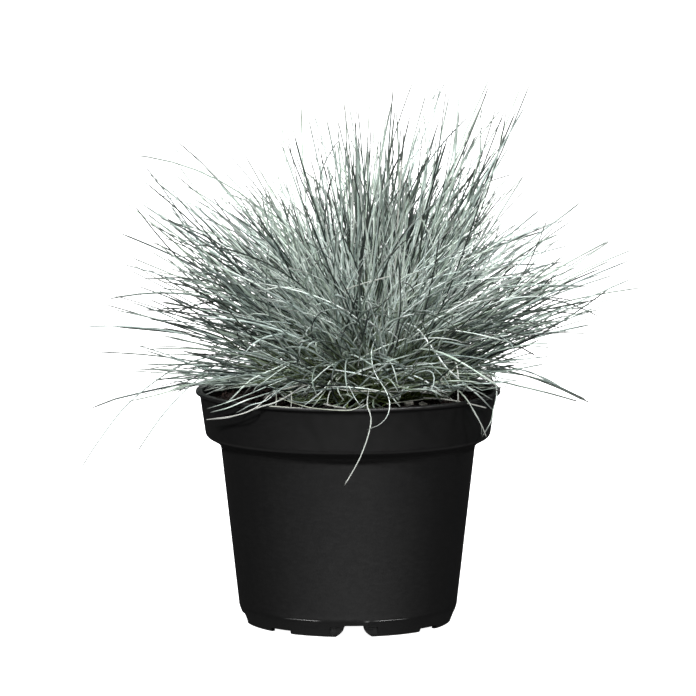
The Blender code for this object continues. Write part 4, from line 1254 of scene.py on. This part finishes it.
# The routes that they take, in millimetres.
STRAYS = {
    "stray_leaf_front": [
        (13, -22.2, 129.2), (12, -45, 135.2), (10.8, -72, 135.6), (10.4, -86, 131.6),
        (12.4, -87.8, 125.5), (11, -88.8, 116.5), (6, -89.6, 103), (-2.4, -90, 88.2),
    ],
    "stray_leaf_left": [
        (-1, -17.6, 129.2), (-22, -34, 136.5), (-40, -57, 135.2), (-45.6, -68, 132.2),
        (-50.5, -71.2, 128.5), (-60, -66.8, 124.2), (-78.6, -44, 118.4),
    ],
    "stray_leaf_right": [
        (27.2, -16, 129.2), (42, -31, 136.8), (57, -46.5, 136.6), (64, -54.5, 132.4), (68.5, -58, 125),
        (72.5, -56, 118), (76, -53, 109.4),
    ],
}
FALLEN = [
    [(14.4, -18, 130.5), (15.9, -34, 149.2), (15.8, -50, 164.4), (13.1, -58, 159.8), (12.8, -64, 155.1),
     (14.6, -74, 148.1), (20.5, -82, 139.3), (22.6, -86.5, 132.8), (21.8, -88, 128.7), (21, -88.5, 126),
     (16.7, -89, 121.8), (9.7, -89.5, 119.1)],
    [(20.5, -18, 130.5), (23.1, -30, 154.3), (29, -42, 170.6), (35.5, -48, 170.8), (40.9, -52, 166.3),
     (52.6, -58, 150.2), (56.7, -58, 146.1), (64.9, -56, 138.5), (71.6, -50, 132.5), (80.1, -33.9, 122)],
    [(24.4, -14, 128.9), (45.3, -22, 137.7), (67.3, -28, 143.5), (77.1, -30, 141.5),
     (81.2, -31.2, 136.3), (81.9, -30.5, 130), (79.8, -34.7, 122), (78.6, -35.9, 116.5),
     (73.4, -42.5, 108.3)],
    [(7.8, -8, 132.6), (-26.6, -16, 141.4), (-54.3, -18, 140.6), (-73.6, -18, 138.3),
     (-84.2, -16, 135.3)],
    [(7.8, -8, 132.6), (-32.1, -18, 139.5), (-59.7, -22, 137.7), (-75.1, -24, 135.5),
     (-82.3, -24, 133.3)],
    [(7.8, -8, 131.5), (-26.6, -20, 136.9), (-54.1, -26, 136.6), (-70.6, -28, 134.6), (-80, -28, 132.4)],
    [(7.8, -4, 132.1), (-32.2, -8, 141.6), (-65.6, -8, 140.5), (-82.3, -6, 137.4), (-89.1, -4, 135.2)],
    [(1.1, -6, 132.9), (-37.7, -14, 138.4), (-62.6, -16, 138.7), (-77.5, -18, 136.7),
     (-85.4, -16, 133.6)],
    [(1.1, -8, 132), (-32.1, -22, 135.5), (-51.3, -28, 135.2), (-63.9, -30, 134.3), (-74.8, -34, 132.9)],
    [(2.2, -6, 132.4), (-31.1, -12, 138.7), (-56.6, -14, 138.4), (-71.5, -16, 136.7), (-82, -18, 133.6)],
    [(22.2, -18, 130), (39.5, -40, 142.8), (56.8, -52, 151.4), (59.6, -58, 147.8), (59.9, -60, 139.8),
     (59.9, -62, 129.8)],
    [(20.5, -16, 129.2), (39.6, -34, 134.8), (54.7, -50, 139.1), (60.5, -58, 136.2),
     (67.1, -55.3, 127.6), (72.9, -46.8, 116), (73, -43.5, 108.4)],
    [(24.4, -14, 130), (45.2, -30, 136.5), (58.7, -40, 137.8), (68.7, -46, 135.6), (80.1, -34, 127.9)],
    [(7.8, -16, 132.5), (-14.3, -28, 140.7), (-31.9, -34, 140.4), (-41.3, -38, 137.5),
     (-53.9, -48, 133.3), (-63.6, -57.9, 130.8), (-70.5, -50.8, 127.5), (-78.2, -38.6, 123.7)],
    [(7.8, -16, 132), (-14.3, -30, 137.6), (-31.8, -40, 136.7), (-44.7, -50, 133.6),
     (-56.2, -63, 131.5), (-65.4, -57.3, 126.9), (-76.3, -42.5, 122.2)],
    [(7.8, -18, 131.7), (-9.9, -36, 137.3), (-23.5, -52, 138.2), (-32.6, -66, 134.5), (-39.8, -75, 132),
     (-47.2, -72.2, 129.4), (-54.4, -67.9, 126.1), (-64.5, -58.7, 121.8), (-71.7, -49.6, 119.7),
     (-78.7, -37.5, 117.7)],
    [(7.8, -14, 133.4), (-15.4, -32, 146.8), (-30.7, -40, 150), (-38.4, -46, 147.7),
     (-52.8, -52, 141.6), (-61.8, -58, 133.7), (-67.3, -54.5, 128.2)],
    [(7.8, -18, 131.1), (-9.9, -36, 138.4), (-26.3, -46, 140.8), (-38.3, -58, 136), (-44.5, -70, 132.5),
     (-52.7, -68.1, 129.9), (-55.3, -66.7, 128.4), (-61.7, -61.6, 124.1)],
    [(-4.4, -10, 131.7), (-37.6, -20, 137.5), (-59.7, -22, 136.6), (-71.8, -24, 132.7),
     (-80.1, -24, 129.1)],
    [(7.8, -18, 132.8), (2.2, -30, 142.1), (-4.9, -44, 144.9), (-14.7, -62, 136.2),
     (-25.4, -82.1, 130.1)],
    [(7.8, -18, 132.8), (4.4, -30, 139.9), (-1.1, -42, 141.9), (3.3, -64, 134), (7.8, -85.3, 130.5)],
    [(8.9, -18, 132.8), (2.2, -30, 141), (-5.5, -44, 144.4), (-12, -60, 137), (-19.4, -83.5, 130.5)],
    [(8.9, -20, 133), (1.1, -34, 140.4), (-6, -46, 142.4), (-5.2, -60, 136.2), (-2.2, -70, 132.5)],
    [(8.9, -20, 133), (2.2, -34, 140.4), (-3.3, -46, 143), (-9.8, -62, 136.2), (-11.4, -78, 130.6)],
    [(13.3, -18, 132.8), (16.5, -32, 139), (21.8, -58, 135.7), (28.4, -80.5, 130.2)],
]
DROOPING = [
    [(24.5, -6, 127.9), (56.7, -8, 138.2), (84.4, -10, 141.8), (99.5, -8, 141), (112.4, -6, 134.6),
     (133.2, -4, 124.2)],
    [(24.5, -4, 127.6), (56.8, -4, 135.3), (81.9, -4, 134.8), (95.9, -2, 131.7), (113.8, 0, 127.1),
     (129.6, 2, 122.3)],
    [(24.5, -2, 127.3), (57, 6, 138.7), (85.1, 10, 141.6), (107.6, 12, 135.7), (122.3, 14, 127.5)],
    [(-1.7, -4, 127.6), (-37.8, -6, 140.2), (-62.8, -8, 143.8), (-82.3, -8, 137), (-101.8, -8, 118),
     (-118.7, -8, 93.9)],
    [(-1.7, 0, 127.1), (-37.9, 2, 141.5), (-65.9, 4, 148), (-93.8, 4, 142.3), (-121.8, 2, 122.3),
     (-139.7, 0, 100), (-149.8, 0, 84.2)],
    [(13.4, -6, 135.7), (45.6, -8, 146.1), (73.4, -8, 143.8), (95.7, -6, 139.1), (115.9, -4, 131.5),
     (132.2, -2, 123.4)],
    [(13.4, -4, 135.5), (51.2, -4, 141.1), (84.6, -4, 140), (109.8, -2, 134.7), (136.2, 0, 121.5)],
    [(13.3, -10, 135.1), (45.5, -12, 141), (67.7, -12, 145.4), (85.5, -10, 142.9), (95.6, -8, 141)],
]
DEAD = [
    [(-12, -50, 138), (1.1, -58, 136.4), (20.1, -60, 136.3), (39.8, -56, 136.3), (50.3, -52, 138.8),
     (56.9, -48, 144.9)],
    [(-4.4, -52, 136.3), (12, -56, 136), (28.4, -56, 135.7), (44.8, -52, 135.5), (58.6, -46, 134.1)],
    [(58.6, -44, 147.1), (54, -48, 143.8), (46.4, -52, 138.2), (40.3, -56, 134.5)],
    [(45.2, -30, 135.4), (59, -30, 136), (69.4, -22, 133.7), (81.5, -14, 132.4)],
    [(-37.2, -66, 133.4), (-28.1, -76, 131.6), (-20, -82.4, 130.2), (-10.2, -84.8, 129.5),
     (0.5, -85.7, 129.3), (5.6, -82.8, 130.5), (8.7, -72, 131.2)],
    [(-13, -66, 130.1), (-7, -74, 129.8), (-1.1, -83, 130.1)],
    [(-42.5, -74.1, 130), (-34.1, -77.4, 129.9), (-24.5, -81, 129.8)],
    [(-39.3, -56, 135.7), (-38.8, -68, 133.1), (-39, -76.2, 130.6)],
    [(-31.1, -56, 135.7), (-30.6, -70, 132.9), (-30.8, -79.7, 130)],
    [(21.3, -56, 128.8), (31.2, -50, 129.4), (41.7, -44, 130)],
    [(41.5, -42, 130.3), (50.9, -46, 130.3), (58.5, -50, 129.8), (66.4, -54, 128.7),
     (76.2, -40.2, 124.5)],
    [(39.6, -38, 133.1), (44.2, -40, 132.8), (49.9, -42, 132.7), (54.1, -46, 131.7), (57.4, -50, 130.2)],
]
STRAY_STATIONS = 40
STRAY_STEPS = 24
# Half width, lightness and its spread, and share of dry leaves.
STRAY_LOOK = (0.00045, (0.45, 0.05), 1.0)
BUNDLES = {
    "fallen_blades": (FALLEN, 0.00041, (0.93, 0.07), 0.12),
    "drooping_blades": (DROOPING, 0.00052, (0.34, 0.20), 0.0),
    "dead_blades": (DEAD, 0.00042, (0.66, 0.16), 1.0),
}


def smooth_line(route):
    """A smooth line through points, evenly divided. Between two of them it is
    0.5 (2b + (c-a)t + (2a-5b+4c-d)t^2 + (3b-a-3c+d)t^3), where a and d are the ones beyond."""
    known = np.array(route, float) / 1000
    known = np.concatenate([[2 * known[0] - known[1]], known, [2 * known[-1] - known[-2]]])
    t = np.linspace(0.0, 1.0, STRAY_STEPS + 1)[:-1][None, :, None]
    a, b, c, d = (known[i : len(known) - 3 + i][:, None] for i in range(4))
    fine = 0.5 * (2 * b + (c - a) * t + (2 * a - 5 * b + 4 * c - d) * t**2 + (3 * b - a - 3 * c + d) * t**3)
    fine = np.concatenate([fine.reshape(-1, 3), known[-2:-1]])
    walked = np.concatenate([[0.0], np.cumsum(np.linalg.norm(np.diff(fine, axis=0), axis=-1))])
    at = np.linspace(0.0, walked[-1], STRAY_STATIONS)
    return np.stack([np.interp(at, walked, fine[:, i]) for i in range(3)], -1)


for name, route in STRAYS.items():
    stray = dress(name.replace("leaf", "blade"), smooth_line(route)[None], *STRAY_LOOK)
    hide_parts(name)
for name, (routes, *look) in BUNDLES.items():
    dress(name, np.stack([smooth_line(route) for route in routes]), *look)


# The studio. A white table and soft light from the front and above. The camera stands two and a half
# metres back and looks a little down.

FLOOR_HALF = 14.0
FLOOR_DROP = 0.0004
FLOOR_WHITE = (0.86, 0.86, 0.86, 1.0)
FLOOR_SHADE = (0.84, 0.84, 0.84, 1.0)
FLOOR_BOUNCE = (0.012, 0.012, 0.012, 1.0)  # what the table gives back, as in a dark studio
WORLD_LIGHT = 0.016
WORLD_SEEN = 1.05
# Azimuth from +X towards +Y and height over the table in degrees, strength, and softness, which is
# the angle that the lamp fills.
LAMPS = {
    "left_key": (-128.0, 36.0, 4.8, 7.0),
    "right_key": (-50.0, 36.0, 3.6, 7.0),
    "front_light": (-82.0, 9.0, 1.90, 60.0),
    "top_light": (-90.0, 80.0, 0.3, 40.0),
    "back_light": (82.0, 48.0, 1.2, 40.0),
}
CAMERA_PLACE = (0.0, -2.5, 0.4506)
CAMERA_DIP = 6.79
CAMERA_LENS = 233.7

floor_paint, tree, shader, place = new_material("studio_table")
clouds = effect(tree, mottle, place, 30.0)
tree.links.new(mixed(tree, clouds, FLOOR_WHITE, FLOOR_SHADE), shader.inputs["Base Color"])
shader.inputs["Roughness"].default_value = 0.9
glow = add_node(tree, "ShaderNodeEmission", {"Color": (1.0, 1.0, 1.0, 1.0), "Strength": 1.0})
lit = add_node(tree, "ShaderNodeAddShader", {0: shader.outputs[0], 1: glow.outputs[0]})
seen = add_node(tree, "ShaderNodeLightPath").outputs["Is Camera Ray"]
dim = add_node(tree, "ShaderNodeBsdfDiffuse", {"Color": FLOOR_BOUNCE})
both = add_node(tree, "ShaderNodeMixShader", {0: seen, 1: dim.outputs[0], 2: lit.outputs[0]})
tree.links.new(both.outputs[0], tree.nodes["Material Output"].inputs["Surface"])
floor_corners = FLOOR_HALF * np.array([(-1, -1, 0), (1, -1, 0), (1, 1, 0), (-1, 1, 0)])
floor_corners[:, 2] -= FLOOR_DROP
floor = mesh_object("floor", floor_corners, [0, 1, 2, 3], np.array([4]), floor_paint)

for name, (azimuth, height, strength, softness) in LAMPS.items():
    light = bpy.data.lights.new(name, "SUN")
    light.energy = strength
    light.angle = math.radians(softness)
    lamp = bpy.data.objects.new(name, light)
    lamp.rotation_euler = (math.radians(90.0 - height), 0.0, math.radians(azimuth + 90.0))
    bpy.context.scene.collection.objects.link(lamp)

world = bpy.data.worlds.new("studio")
bpy.context.scene.world = world
world.use_nodes = True
tree = world.node_tree
background = tree.nodes["Background"]
background.inputs["Color"].default_value = (1.0, 1.0, 1.0, 1.0)
seen = add_node(tree, "ShaderNodeLightPath").outputs["Is Camera Ray"]
tree.links.new(stretched(tree, seen, 0.0, 1.0, WORLD_LIGHT, WORLD_SEEN), background.inputs["Strength"])

camera_data = bpy.data.cameras.new("camera")
camera_data.sensor_fit = "HORIZONTAL"
camera_data.sensor_width = 36.0
camera_data.lens = CAMERA_LENS
camera_data.clip_end = 60.0
camera = bpy.data.objects.new("camera", camera_data)
camera.location = CAMERA_PLACE
camera.rotation_euler = (math.radians(90.0 - CAMERA_DIP), 0.0, 0.0)
bpy.context.scene.collection.objects.link(camera)
bpy.context.scene.camera = camera
bpy.context.scene.view_settings.view_transform = "Standard"
